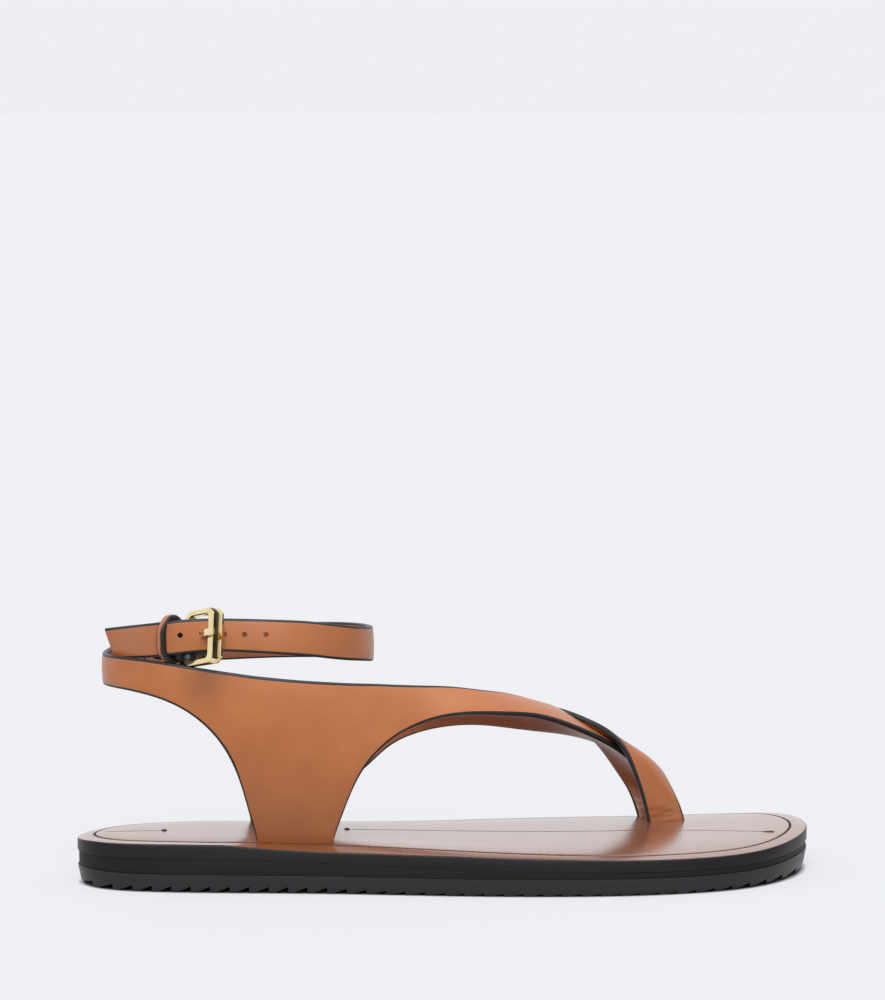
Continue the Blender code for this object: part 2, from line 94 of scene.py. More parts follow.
# Depth of the tread's notches, and share of the wedge's recess, along the sole: x, value.
TOOTH_DEPTH = (
    (-130.0, 1.5), (-110.0, 2.2), (-52.0, 2.2), (-30.0, 1.3), (5.0, 0.9), (70.0, 0.8), (95.0, 1.5),
    (130.0, 1.6),
)
RECESS_SHARE = ((-110.0, 1.0), (-75.0, 0.25), (20.0, 0.25), (75.0, 1.0))

# Footbed: its crown's height, how sharply it turns down, its reach as a share of the width and more,
# and the stretch of x that the width is taken from.
CROWN = 1.6
CROWN_POWER = 4.5
CROWN_REACH = (0.48, 1.5)
CROWN_ENDS = (-98.0, 96.0)

# Rise of the outer edge, and of the bed beside it, over the solid: x, mm. How far in each reaches,
# and how far out from y = 0 both are whole.
EDGE_LIFT = (
    (-129.0, 0.8), (-110.0, 1.0), (-80.0, 1.2), (-62.0, 0.1), (-45.0, -0.3), (-25.0, 0.1), (0.0, 0.5),
    (40.0, 0.4), (70.0, 0.1), (90.0, 0.0),
)
EDGE_REACH = 5.5
BED_LIFT = ((-80.0, 0.0), (-62.0, 0.5), (0.0, 0.6), (30.0, 0.3), (60.0, 0.0))
BED_REACH = ((0.0, 0.0), (6.0, 1.0), (10.0, 0.8), (22.0, 0.0))
OUTER_SIDE = 12.0

# The groove inside the footbed's edge, and the tooled centre line: x, y, with its lines, knots and dart.
GROOVE_IN = 5.9
GROOVE_HALF = 0.5
GROOVE_DEEP = 0.6
SPINE = (
    (-119.0, 2.2), (-99.0, 1.0), (-60.0, 2.8), (-34.8, 4.4), (1.5, 4.4), (40.3, 4.6), (65.0, 5.6),
    (89.2, 3.4), (115.0, -5.8),
)
CENTRE_LINES = ((-121.0, -99.0), (-34.8, 116.5))
DOTS = (-98.9, -34.8)
DART = (113.0, 4.4)
CENTRE_WIDE = 1.3
CENTRE_DEEP = 0.4

# Stitches: pitch, length, depth in the groove, sag of the ends, then stations as share of length, radius.
STITCH_PITCH = 3.1
STITCH_LONG = 2.5
STITCH_DEEP = 0.30
STITCH_SAG = 0.16
STITCH_STEPS = 12
STITCH_FORM = ((-0.5, 0.06), (-0.44, 0.2), (-0.2, 0.27), (0.2, 0.27), (0.44, 0.2), (0.5, 0.06))

# A knot: radius, rise over the footbed.
KNOT_FORM = ((0.05, -0.4), (0.8, -0.4), (1.0, 0.0), (0.95, 0.2), (0.7, 0.4), (0.35, 0.5), (0.05, 0.52))

# Strap sections: x, y, z of one edge, x, y, z of the other edge, bow of the face between them.
OUTER_STRAP = (
    (-115.2, -9.8, 79.2, -118.8, -8.4, 89.6, 0.2),
    (-110.4, -17.6, 80.2, -111.4, -16.2, 91.5, 0.2),
    (-101.5, -27.6, 82.0, -101.5, -27.6, 93.9, 0.3),
    (-91.5, -31.0, 83.5, -91.5, -31.0, 95.2, 0.3),
    (-79.0, -32.0, 84.1, -78.5, -31.7, 95.5, 0.3),
    (-60.5, -32.2, 83.0, -60.5, -30.5, 94.8, 0.4),
    (-49.5, -29.6, 81.8, -49.5, -27.6, 93.8, 0.4),
    (-38.6, -23.3, 79.7, -38.6, -21.9, 91.8, 0.4),
    (-29.1, -12.5, 77.7, -29.3, -11.8, 89.7, 0.4),
    (-25.7, 1.5, 75.9, -25.9, 1.5, 88.5, 0.4),
    (-29.9, 15.5, 74.9, -30.1, 15.3, 87.8, 0.4),
    (-42.0, 27.0, 74.1, -42.1, 26.6, 86.9, 0.4),
    (-58.0, 33.5, 73.3, -58.0, 33.0, 86.0, 0.4),
    (-75.0, 35.0, 72.6, -75.0, 34.5, 85.3, 0.4),
    (-92.0, 31.6, 72.1, -92.0, 31.2, 84.3, 0.4),
    (-106.4, 22.8, 71.3, -106.4, 22.4, 82.9, 0.4),
    (-116.0, 10.5, 70.4, -116.0, 10.3, 81.4, 0.4),
    (-119.4, -2.5, 69.8, -119.4, -2.5, 80.8, 0.4),
    (-116.6, -15.0, 70.0, -116.5, -15.0, 81.2, 0.4),
    (-105.0, -25.9, 68.7, -104.8, -25.9, 81.0, 0.4),
    (-91.8, -31.2, 63.5, -91.0, -31.8, 79.3, 0.4),
    (-81.4, -31.8, 54.0, -82.0, -33.2, 77.9, 0.4),
    (-74.4, -30.4, 40.6, -76.0, -33.6, 77.0, 1.1),
    (-69.9, -26.4, 25.0, -71.4, -33.7, 76.3, 2.4),
    (-67.8, -22.8, 16.0, -68.6, -33.7, 75.9, 3.4),
    (-66.6, -20.2, 9.0, -66.0, -33.6, 75.6, 4.1),
    (-54.8, -22.2, 9.0, -54.2, -33.0, 74.3, 4.3),
    (-42.9, -23.9, 9.0, -42.0, -31.4, 73.2, 4.1),
    (-41.6, -26.2, 16.0, -39.6, -31.0, 73.0, 3.6),
    (-39.2, -28.7, 25.0, -36.0, -30.3, 72.7, 2.9),
    (-32.7, -31.0, 40.7, -27.8, -28.0, 72.1, 1.9),
    (-22.8, -28.9, 51.9, -17.7, -24.0, 71.1, 1.2),
    (-13.6, -26.5, 56.8, -9.8, -20.0, 70.3, 1.0),
    (-3.9, -23.0, 59.3, -0.3, -14.0, 69.1, 0.9),
    (8.4, -16.5, 59.5, 11.7, -6.0, 66.6, 0.9),
    (21.1, -8.5, 58.2, 22.5, 3.5, 63.8, 0.9),
    (33.1, 0.5, 55.9, 32.3, 12.0, 60.1, 0.9),
    (45.5, 10.5, 51.1, 40.7, 20.3, 56.4, 0.6),
    (57.1, 20.0, 45.2, 48.0, 27.0, 50.8, 0.6),
    (66.1, 27.0, 39.4, 54.4, 32.5, 45.0, 0.9),
    (72.6, 32.0, 33.1, 60.0, 38.0, 38.3, 1.2),
    (79.0, 37.2, 24.2, 66.5, 43.0, 29.0, 0.5),
    (83.4, 39.6, 17.0, 70.9, 42.6, 19.5, 0.3),
    (85.8, 39.4, 9.0, 73.8, 39.2, 9.0, 0.0),
)
INNER_STRAP = (
    (-105.4, 22.3, 73.0, -105.0, 22.5, 81.0, 0.2),
    (-99.2, 27.1, 70.5, -98.4, 27.5, 79.0, 0.3),
    (-91.5, 30.1, 65.0, -91.0, 30.9, 74.4, 0.4),
    (-83.0, 30.6, 56.0, -83.4, 32.0, 66.8, 0.6),
    (-75.5, 29.6, 43.0, -76.0, 32.2, 64.6, 1.2),
    (-70.2, 26.6, 27.0, -70.0, 31.8, 64.4, 1.9),
    (-67.8, 22.8, 16.0, -66.8, 31.6, 64.4, 2.8),
    (-66.6, 20.4, 9.0, -63.0, 31.4, 64.4, 3.5),
    (-55.0, 21.0, 9.0, -53.0, 30.8, 63.6, 3.7),
    (-43.3, 21.3, 9.0, -43.0, 30.0, 63.0, 3.5),
    (-41.4, 24.0, 16.0, -40.4, 29.7, 62.8, 2.8),
    (-37.5, 27.0, 25.0, -37.0, 29.2, 62.6, 2.0),
    (-27.6, 29.6, 33.0, -28.0, 27.6, 62.0, 1.6),
    (-18.4, 30.6, 41.2, -18.0, 25.6, 61.2, 1.3),
    (-9.4, 31.2, 46.0, -8.0, 23.8, 60.4, 1.1),
    (0.9, 31.8, 48.6, 2.0, 22.6, 59.6, 1.0),
    (13.1, 32.6, 49.3, 13.0, 22.0, 59.0, 1.0),
    (25.4, 33.6, 48.0, 25.0, 21.8, 58.2, 0.8),
    (36.6, 34.8, 46.5, 35.0, 22.0, 57.2, 0.4),
    (48.6, 37.0, 44.6, 43.5, 22.4, 55.4, 0.0),
    (61.5, 39.0, 40.4, 52.6, 22.8, 51.8, -0.6),
    (72.6, 36.8, 35.2, 60.6, 22.4, 47.2, 0.2),
    (79.4, 33.5, 32.4, 65.2, 20.6, 41.3, 1.6),
    (83.9, 29.6, 25.6, 69.0, 19.8, 32.5, 0.9),
    (87.3, 26.0, 17.3, 72.8, 20.8, 20.3, 0.4),
    (88.9, 24.2, 9.0, 75.2, 22.0, 9.0, 0.0),
)
BUCKLE_TAB = (
    (-96.6, -28.2, 67.0, -90.5, -29.9, 65.0, 0.0),
    (-95.4, -27.6, 75.0, -90.0, -29.2, 74.4, 0.0),
    (-93.5, -24.8, 81.0, -90.2, -25.4, 80.8, 0.0),
    (-93.3, -24.4, 85.6, -91.0, -25.2, 85.6, 0.0),
    (-93.3, -24.2, 92.0, -91.2, -25.0, 92.0, 0.0),
)
TAB_TONGUE = (
    (-102.6, -23.4, 80.8, -102.6, -23.0, 91.6, 0.0),
    (-100.6, -24.9, 80.6, -100.6, -24.5, 91.7, 0.0),
    (-96.5, -26.5, 80.4, -96.5, -26.0, 91.6, 0.0),
    (-92.2, -27.4, 80.2, -92.2, -27.0, 87.4, 0.0),
    (-88.0, -28.2, 80.8, -88.0, -27.9, 85.8, 0.0),
    (-84.0, -28.7, 82.2, -84.0, -28.5, 85.4, 0.0),
)
TONGUE_T = 1.6

# The tab's rolls round the pivot bar: radius, length, place of the middle along the bar.
LOW_ROLL = (2.3, 6.6, -5.1)
HIGH_ROLL = (1.9, 2.2, 2.9)

# Cuts of the strap feet, inside the footbed: from x, to x, height.
FOOT_LEVELS = ((-75.0, -35.0, 14.0), (65.0, 95.0, 11.0))
SECTION_STEPS = 16

# The outer panel's one smooth face: the middle and half size that its fit is measured from in x and z,
# the sections and places that it is fitted to, and its share along x and up z.
PANEL_MIDDLE = (-48.0, 45.0)
PANEL_HALF = (40.0, 32.0)
PANEL_LOW_EDGE = 68.5
PANEL_FIT_X = (-90.0, -4.0)
PANEL_FIT_Y = -10.0
PANEL_SHARE_X = ((-88.0, 0.0), (-74.0, 1.0), (-24.0, 1.0), (-8.0, 0.0))
PANEL_SHARE_Z = ((14.0, 0.0), (26.0, 1.0))

# Edge of a strap: distance in from the edge, depth under the outer face, both in mm.
RIM = ((0.95, 0.0), (0.66, 0.04), (0.22, 0.16), (0.05, 0.42))

# Points across a strap's face, least sine between a section and its edge, step in share for the slope.
FACE_SHARES = 11
SLANT_LEAST = 0.34
SLOPE_STEP = 0.004

# Angle in degrees from which an edge is drawn sharp: usually, and on straps.
SHARP = 38.0
STRAP_SHARP = 60.0

# Buckle, strap holes and keeper, fitted to the photo more closely than the solids are.
PIVOT = (-90.4, -25.6, 88.4)
BUCKLE_YAW = 50.0
BUCKLE_LEAN = 17.0
BUCKLE_ROLL = 14.0
FRAME_W = 12.8
FRAME_H = 19.2
FRAME_LOWER = 1.0
FRAME_BAR = 1.9
FRAME_DEPTH = 2.6
FRAME_BACK = 1.2
FRONT_BAR_IN = 1.8
FRONT_RIM = 0.4
FRAME_CORNER = 1.7
PIVOT_R = 0.8
PIVOT_L = FRAME_H - 2.5
COLLAR_R = 1.7
COLLAR_L = 2.4
PRONG_W = 2.5
PRONG_T = 1.2
PRONG_LIFT = 0.3
PRONG_DROP = 0.5
PRONG_PAST = 1.6
PRONG_SOFT = 0.25
PRONG_CORNER = 0.07
PRONG_TIP_SHARE = 0.82
GAP = 0.3
HOLES = ((-93.6, 89.8), (-78.6, 90.1), (-71.8, 90.0), (-64.5, 89.9))
HOLE_R = 0.95
PUNCH_L = 9.0
PUNCH_Y = -31.0
PRONG_HOLE_R = 1.75
PRONG_HOLE_L = FRAME_W - 3.0
KEEPER_AT = (-96.3, -26.5, 87.9)
KEEPER_YAW = 48.0
KEEPER_BAND = 3.0
KEEPER_T = 2.8
KEEPER_INSIDE = (6.4, 11.2)
KEEPER_CORNER = 4.2
KEEPER_SOFT = 1.7
KEEPER_BOW = 0.12


# Curves

def spline(points, closed=False):
    """A smooth curve through the points: a function of the length run along them, and that length."""
    points = np.asarray(points, float)
    if closed:
        points = np.vstack([points[-4:], points, points[:5]])
    step = np.linalg.norm(np.diff(points, axis=0), axis=1) ** 0.5
    at = np.concatenate([[0.0], np.cumsum(step)])
    count = len(points)
    left = np.zeros((count, count))
    right = np.zeros_like(points)
    left[0, 0] = left[-1, -1] = 1.0
    for i in range(1, count - 1):
        left[i, i - 1] = step[i - 1]
        left[i, i] = 2.0 * (step[i - 1] + step[i])
        left[i, i + 1] = step[i]
        right[i] = 6.0 * ((points[i + 1] - points[i]) / step[i] - (points[i] - points[i - 1]) / step[i - 1])
    bend = np.linalg.solve(left, right)

    def curve(t):
        t = np.atleast_1d(np.asarray(t, float))
        i = np.clip(np.searchsorted(at, t, side="right") - 1, 0, count - 2)
        a = ((at[i + 1] - t) / step[i])[:, None]
        b = ((t - at[i]) / step[i])[:, None]
        h2 = (step[i] ** 2 / 6.0)[:, None]
        return a * points[i] + b * points[i + 1] + ((a**3 - a) * bend[i] + (b**3 - b) * bend[i + 1]) * h2

    if closed:
        return curve, at[4], at[-5]
    return curve, at[0], at[-1]


def evenly(points, count):
    """Points at even distances along a closed line."""
    whole = np.vstack([points, points[:1]])
    run = np.concatenate([[0.0], np.cumsum(np.linalg.norm(np.diff(whole, axis=0), axis=1))])
    at = np.linspace(0.0, run[-1], count + 1)[:-1]
    return np.column_stack([np.interp(at, run, whole[:, k]) for k in range(whole.shape[1])])


def unit(rows):
    """Each row as a direction of length one."""
    return rows / np.linalg.norm(rows, axis=-1, keepdims=True)


def around(rows):
    """Step from the row before to the row after, for rows in a closed ring."""
    return np.roll(rows, -1, axis=0) - np.roll(rows, 1, axis=0)


def table_value(table, x):
    """Value at x of a table of x and value."""
    rows = np.asarray(table)
    return np.interp(x, rows[:, 0], rows[:, 1])


def fine_plan():
    """The sole's plan as a fine closed line that starts at the heel's end."""
    curve, start, end = spline(OUTLINE, closed=True)
    fine = curve(np.linspace(start, end, 4001))[:-1]
    return np.roll(fine, -int(np.argmin(fine[:, 0])), axis=0)


def side_height(x, column):
    """Height at x of one line of the side profile."""
    rows = np.asarray(SIDE)
    curve, start, end = spline(rows[:, [0, column]])
    fine = curve(np.linspace(start, end, 400))
    return np.maximum(np.interp(x, fine[:, 0], fine[:, 1]), 0.0)


def inset(plan, distance):
    """The outline moved in by a distance, square to itself."""
    along = unit(around(plan))
    return plan + distance * np.column_stack([-along[:, 1], along[:, 0]])


# Materials: depth of the grain in metres, and the height in mm that the painted shade by height is measured
# to.

GRAIN_RELIEF = 0.00012
HEIGHT_SHADE_TOP = 100.0


def new_node(tree, kind, values=None, **settings):
    """A node with its settings made, and its inputs set to values or linked to other outputs."""
    made = tree.nodes.new(kind)
    for name, value in settings.items():
        setattr(made, name, value)
    for name, value in (values or {}).items():
        if isinstance(value, bpy.types.NodeSocket):
            tree.links.new(value, made.inputs[name])
        else:
            made.inputs[name].default_value = value
    return made


def carried(tree, value, low, high, first=0.0, last=1.0, **settings):
    """A value carried from one range to another, and held at the ends."""
    made = new_node(tree, "ShaderNodeMapRange", {
        "Value": value, "From Min": low, "From Max": high, "To Min": first, "To Max": last}, **settings)
    return made.outputs["Result"]


def joined(tree, operation, one, other):
    """Two values put together by one operation."""
    return new_node(tree, "ShaderNodeMath", {0: one, 1: other}, operation=operation).outputs["Value"]


def painted_shade_spots(tree, place, tone, shade_spots):
    """Painted shadows: soft dark spots in a colour where shade falls, each a place in mm, a reach in mm and
    the share left there.
    """
    for spot, reach, left in shade_spots:
        away = new_node(tree, "ShaderNodeVectorMath", {0: place, 1: MM * Vector(spot)}, operation="DISTANCE")
        fade = carried(tree, away.outputs["Value"], 0.0, MM * reach, left, interpolation_type="SMOOTHSTEP")
        darker = new_node(tree, "ShaderNodeVectorMath", {0: tone, "Scale": fade}, operation="SCALE")
        tone = darker.outputs["Vector"]
    return tone


def painted_shade_by_height(tree, place, tone, height_shade):
    """Painted shade: the colour darkened by height, mostly low down where less light falls; each step is a
    height in mm and the share left there.
    """
    split = new_node(tree, "ShaderNodeSeparateXYZ", {"Vector": place})
    tint = new_node(tree, "ShaderNodeValToRGB", {
        "Fac": carried(tree, split.outputs["Z"], 0.0, MM * HEIGHT_SHADE_TOP)})
    tint.color_ramp.interpolation = "EASE"
    stops = tint.color_ramp.elements
    for k, (z, share) in enumerate(height_shade):
        stop = stops[k] if k < 2 else stops.new(z / HEIGHT_SHADE_TOP)
        stop.position = z / HEIGHT_SHADE_TOP
        stop.color = (share, share, share, 1.0)
    mixed = new_node(tree, "ShaderNodeMix", {0: 1.0, 6: tone, 7: tint.outputs["Color"]},
                     data_type="RGBA", blend_type="MULTIPLY")
    return mixed.outputs[2]


def surface(name, low, high, roughness, spread=0.06, colour_scale=70.0, grain=900.0, bump=0.15,
            stretch=(1.0, 1.0, 1.0), cells=0.0, metallic=0.0, coat=0.0, coat_roughness=0.25, specular=0.5,
            height_shade=(), shade_spots=()):
    """A surface with uneven colour, uneven gloss and a fine relief, all from its place on the part, with
    painted shade by height and painted shadow spots where given.
    """
    made = bpy.data.materials.new(name)
    made.use_nodes = True
    made.diffuse_color = (*high, 1.0)
    tree = made.node_tree
    shader = tree.nodes["Principled BSDF"]
    shader.inputs["Metallic"].default_value = metallic
    shader.inputs["Coat Weight"].default_value = coat
    shader.inputs["Coat Roughness"].default_value = coat_roughness
    shader.inputs["Specular IOR Level"].default_value = specular
    place = new_node(tree, "ShaderNodeTexCoord").outputs["Object"]
    scaled = new_node(tree, "ShaderNodeMapping", {"Vector": place, "Scale": stretch}).outputs["Vector"]
    cloud = new_node(tree, "ShaderNodeTexNoise", {
        "Vector": scaled, "Scale": colour_scale, "Detail": 5.0, "Roughness": 0.62}).outputs["Fac"]
    ramp = new_node(tree, "ShaderNodeValToRGB", {"Fac": cloud})
    ramp.color_ramp.elements[0].position = 0.3
    ramp.color_ramp.elements[0].color = (*low, 1.0)
    ramp.color_ramp.elements[1].position = 0.72
    ramp.color_ramp.elements[1].color = (*high, 1.0)
    tone = ramp.outputs["Color"]
    if height_shade:
        tone = painted_shade_by_height(tree, place, tone, height_shade)
    tree.links.new(painted_shade_spots(tree, place, tone, shade_spots), shader.inputs["Base Color"])
    gloss = carried(tree, cloud, 0.3, 0.7, roughness - spread, roughness + spread)
    tree.links.new(gloss, shader.inputs["Roughness"])
    height = new_node(tree, "ShaderNodeTexNoise", {
        "Vector": scaled, "Scale": grain, "Detail": 3.0, "Roughness": 0.55}).outputs["Fac"]
    if cells:
        pores = new_node(tree, "ShaderNodeTexVoronoi", {"Vector": scaled, "Scale": cells},
                         feature="DISTANCE_TO_EDGE")
        height = joined(tree, "ADD", height, carried(tree, pores.outputs["Distance"], 0.0, 0.12))
    raised = new_node(tree, "ShaderNodeBump", {"Height": height, "Strength": bump, "Distance": GRAIN_RELIEF})
    tree.links.new(raised.outputs["Normal"], shader.inputs["Normal"])
    return made


# Painted shade: share of the leather's colour up the shoe, mostly darker low down where less light falls: z,
# share, the two ends first.
PAINTED_HEIGHT_SHADE = (
    (13.0, 0.56), (100.0, 0.90), (24.0, 0.76), (40.0, 0.91), (62.0, 1.0), (72.0, 0.98), (80.0, 0.90),
)
# Painted shadows, soft dark spots: the buckle's shadow on the wrap, shade in the toe straps' crossing, and
# shade on the far strap's inside behind the ankle strap.
BUCKLE_SHADE = ((-86.0, -33.0, 73.5), 13.0, 0.72)
CROSSING_SHADE = ((61.0, 23.0, 42.0), 10.0, 0.45)
ANKLE_SHADE = ((-75.0, 32.0, 80.0), 45.0, 0.6)


def tan_leather(name, shade):
    return surface(name, (0.43, 0.126, 0.028), (0.49, 0.154, 0.038), 0.40, cells=1700.0, bump=0.12,
                   coat=0.4, coat_roughness=0.36, height_shade=PAINTED_HEIGHT_SHADE, shade_spots=(shade,))


# Two copies of the tan leather that differ only in their painted shadow: one under the buckle, one in the
# toe straps' crossing.
TAN = tan_leather("tan_grain", BUCKLE_SHADE)
TOE_TAN = tan_leather("toe_tan_grain", CROSSING_SHADE)
LINING = surface("brown_flesh_side", (0.30, 0.098, 0.037), (0.36, 0.122, 0.048), 0.36, grain=1500.0,
                 bump=0.1, coat=0.6, coat_roughness=0.3, shade_spots=(ANKLE_SHADE,))
# Edge paint. Also laid as painted shade on the whole tab, the tongue's outer face, the rolls and the
# keeper's inside.
EDGE_PAINT_AND_SHADE = surface("edge_paint_and_shade", (0.010, 0.010, 0.011), (0.017, 0.017, 0.019), 0.40, colour_scale=220.0,
                bump=0.1, coat=0.12, specular=0.3)
FOOTBED = surface("footbed_grain", (0.17, 0.050, 0.017), (0.21, 0.066, 0.024), 0.24, cells=1500.0,
                  bump=0.03, coat=0.9, coat_roughness=0.23, spread=0.02)
FURROW = surface("footbed_furrow", (0.035, 0.016, 0.011), (0.06, 0.026, 0.017), 0.7, colour_scale=400.0)
THREAD = surface("dark_thread", (0.03, 0.016, 0.012), (0.07, 0.035, 0.025), 0.65, colour_scale=900.0,
                 grain=3000.0, bump=0.5)
GREY_RUBBER = surface("grey_rubber", (0.009, 0.009, 0.011), (0.014, 0.014, 0.016), 0.42, colour_scale=120.0,
                      stretch=(0.3, 0.3, 1.6), grain=1300.0, bump=0.25, specular=0.38)
BLACK_RUBBER = surface("black_rubber", (0.005, 0.005, 0.0055), (0.010, 0.010, 0.011), 0.55,
                       colour_scale=120.0, stretch=(0.2, 0.2, 2.0), grain=1300.0, bump=0.25, specular=0.2)
EDGE_RUBBER = surface("edge_rubber", (0.005, 0.005, 0.007), (0.009, 0.009, 0.011), 0.40, colour_scale=120.0,
                      stretch=(0.2, 0.2, 2.0), grain=1300.0, bump=0.15, specular=0.25)
GOLD = surface("pale_gold", (0.86, 0.70, 0.38), (0.92, 0.78, 0.46), 0.1, spread=0.02, colour_scale=300.0,
               grain=1800.0, bump=0.03, metallic=1.0)
GOLD_SHADE = surface("gold_in_shade", (0.035, 0.028, 0.014), (0.07, 0.055, 0.03), 0.3,
                     colour_scale=300.0, metallic=1.0)
PUNCHED = surface("punched_leather", (0.19, 0.065, 0.028), (0.27, 0.095, 0.042), 0.75,
                  colour_scale=700.0, bump=0.4)


# Meshes

def piece(name, points, faces, looks, slots=None, sharp=SHARP):
    """A smooth closed mesh from points in mm, its faces turned outwards."""
    mesh = bpy.data.meshes.new(name)
    mesh.from_pydata([tuple(MM * float(c) for c in p) for p in points], [], faces)
    for look in looks:
        mesh.materials.append(look)
    if slots is not None:
        mesh.polygons.foreach_set("material_index", np.asarray(slots, np.int32))
    work = bmesh.new()
    work.from_mesh(mesh)
    bmesh.ops.remove_doubles(work, verts=work.verts, dist=2e-6)
    bmesh.ops.recalc_face_normals(work, faces=work.faces)
    if work.calc_volume(signed=True) < 0:
        bmesh.ops.reverse_faces(work, faces=work.faces)
    work.to_mesh(mesh)
    work.free()
    made = bpy.data.objects.new(name, mesh)
    bpy.context.scene.collection.objects.link(made)
    soften(made, sharp)
    return made


def soften(made, sharp):
    """Smooth shading, with sharp edges from an angle on."""
    made.data.polygons.foreach_set("use_smooth", [True] * len(made.data.polygons))
    made.data.set_sharp_from_angle(angle=math.radians(sharp))


def ring_faces(rings, count, closed=False):
    """Quads between neighbouring rings of points that each hold the same count."""
    faces = []
    for k in range(rings if closed else rings - 1):
        low = k * count
        high = ((k + 1) % rings) * count
        for i in range(count):
            j = (i + 1) % count
            faces.append((low + i, low + j, high + j, high + i))
    return faces


def tube_faces(rings, count, start=0):
    """Faces round a tube of rings, with a cap on either end."""
    faces = [tuple(start + i for i in face) for face in ring_faces(rings, count)]
    faces.append(tuple(start + i for i in range(count)))
    faces.append(tuple(start + (rings - 1) * count + i for i in range(count)))
    return faces


def cut_out(target, cutter):
    """Takes the cutter out of the target's own mesh, with the cutter's material on the cut."""
    modifier = target.modifiers.new("cut", "BOOLEAN")
    modifier.operation = "DIFFERENCE"
    modifier.solver = "EXACT"
    modifier.material_mode = "TRANSFER"
    modifier.object = cutter
    graph = bpy.context.evaluated_depsgraph_get()
    made = bpy.data.meshes.new_from_object(target.evaluated_get(graph))
    target.modifiers.clear()
    target.data = made
    bpy.data.objects.remove(cutter, do_unlink=True)


def strap_loop(thickness, scale=1.0):
    """The section of a strap: share of the width, mm in from either edge, depth and look, once round."""
    tan, paint, lining = 0, 1, 2
    rim = [(scale * d, scale * n) for d, n in RIM]
    shares = np.linspace(0.0, 1.0, FACE_SHARES + 2)[1:-1]
    reach = rim[0][0]
    loop = [(0.0, rim[1][0], 0.0, rim[1][1], paint), (0.0, reach, 0.0, 0.0, tan)]
    for s in shares:
        loop.append((s, reach * (1.0 - s), reach * s, 0.0, tan))
    for d, n in rim:
        loop.append((1.0, 0.0, d, n, paint))
    loop.append((1.0, 0.0, 0.0, 0.5 * thickness, paint))
    for d, n in rim[3:1:-1]:
        loop.append((1.0, 0.0, d, thickness - n, paint))
    for d, n in rim[1::-1]:
        loop.append((1.0, 0.0, d, thickness - n, lining))
    for s in shares[::-2]:
        loop.append((s, reach * (1.0 - s), reach * s, thickness, lining))
    loop.append((0.0, reach, 0.0, thickness, lining))
    for d, n in rim[1:]:
        loop.append((0.0, d, 0.0, thickness - n, paint))
    loop.append((0.0, 0.0, 0.0, 0.5 * thickness, paint))
    for d, n in rim[3:1:-1]:
        loop.append((0.0, d, 0.0, n, paint))
    return loop


def panel_face(grid):
    """A function that lays points of the outer panel on one smooth face, fitted to its own points."""
    def terms(spots):
        x = (spots[..., 0] - PANEL_MIDDLE[0]) / PANEL_HALF[0]
        z = (spots[..., 2] - PANEL_MIDDLE[1]) / PANEL_HALF[1]
        return np.stack([x**i * z**k for i in range(4) for k in range(3)], axis=-1)

    x, y, z = (grid[..., k] for k in range(3))
    low = z.min(axis=1, keepdims=True) < PANEL_LOW_EDGE
    held = low & (x > PANEL_FIT_X[0]) & (x < PANEL_FIT_X[1]) & (y < PANEL_FIT_Y)
    share = np.linalg.lstsq(terms(grid[held]), y[held], rcond=None)[0]

    def lay(spots):
        x, y, z = (spots[..., k] for k in range(3))
        w = table_value(PANEL_SHARE_X, x) * table_value(PANEL_SHARE_Z, z)
        w = w * w * (3.0 - 2.0 * w) * (low & (y < PANEL_FIT_Y))
        made = spots.copy()
        made[..., 1] += w * (terms(spots) @ share - y)
        return made

    return lay


def strap(name, sections, side, thickness=LEATHER_T, closed=False, scale=1.0, crease=None,
          looks=(TAN, EDGE_PAINT_AND_SHADE, LINING), lay_on=None):
    """A leather strap through its sections: grain outside, painted rounded edges, flesh side inside."""
    one, other, bow = sections[:, 0:3], sections[:, 3:6], sections[:, 6]

    def along(values):
        return around(values) if closed else np.gradient(values, axis=0)

    def slant(edge):
        """How much farther along the section a distance from this edge is."""
        ahead = along(edge)
        meet = np.linalg.norm(np.cross(over, ahead), axis=1) / (width * np.linalg.norm(ahead, axis=1))
        return 1.0 / np.clip(meet, SLANT_LEAST, 1.0)

    over = other - one
    width = np.linalg.norm(over, axis=1)
    rise = side * np.cross(over, along(other))
    rise *= (bow / np.linalg.norm(rise, axis=1))[:, None]
    loop = strap_loop(thickness, scale)
    share, first, last, depth, look = (np.array(column) for column in zip(*loop))
    shift = slant(one)[:, None] * first[None, :] - slant(other)[:, None] * last[None, :]
    u = (share[None, :] + shift / width[:, None])[:, :, None]
    over, rise = over[:, None], rise[:, None]

    def face(u):
        """Points of the bowed outer face at shares of the width."""
        return one[:, None] + u * over + 4.0 * u * (1.0 - u) * rise

    lay = lay_on(face(u)) if lay_on else np.copy
    grid = lay(face(u))
    slope = lay(face(u + SLOPE_STEP)) - lay(face(u - SLOPE_STEP))
    normal = unit(side * np.cross(slope, along(grid)))
    sunk = np.repeat(depth[None, :], len(sections), axis=0)
    if crease is not None:
        sunk = sunk - crease(u[:, :, 0], grid)
    points = (grid - sunk[:, :, None] * normal).reshape(-1, 3)
    if closed:
        faces = ring_faces(len(sections), len(loop), closed)
        slots = np.tile(look, len(sections))
    else:
        faces = tube_faces(len(sections), len(loop))
        slots = np.append(np.tile(look, len(sections) - 1), [1, 1])
    return piece(name, points, faces, looks, slots, STRAP_SHARP)


def sections_of(rows):
    curve, start, end = spline(rows)
    return curve(np.linspace(start, end, (len(rows) - 1) * SECTION_STEPS + 1))


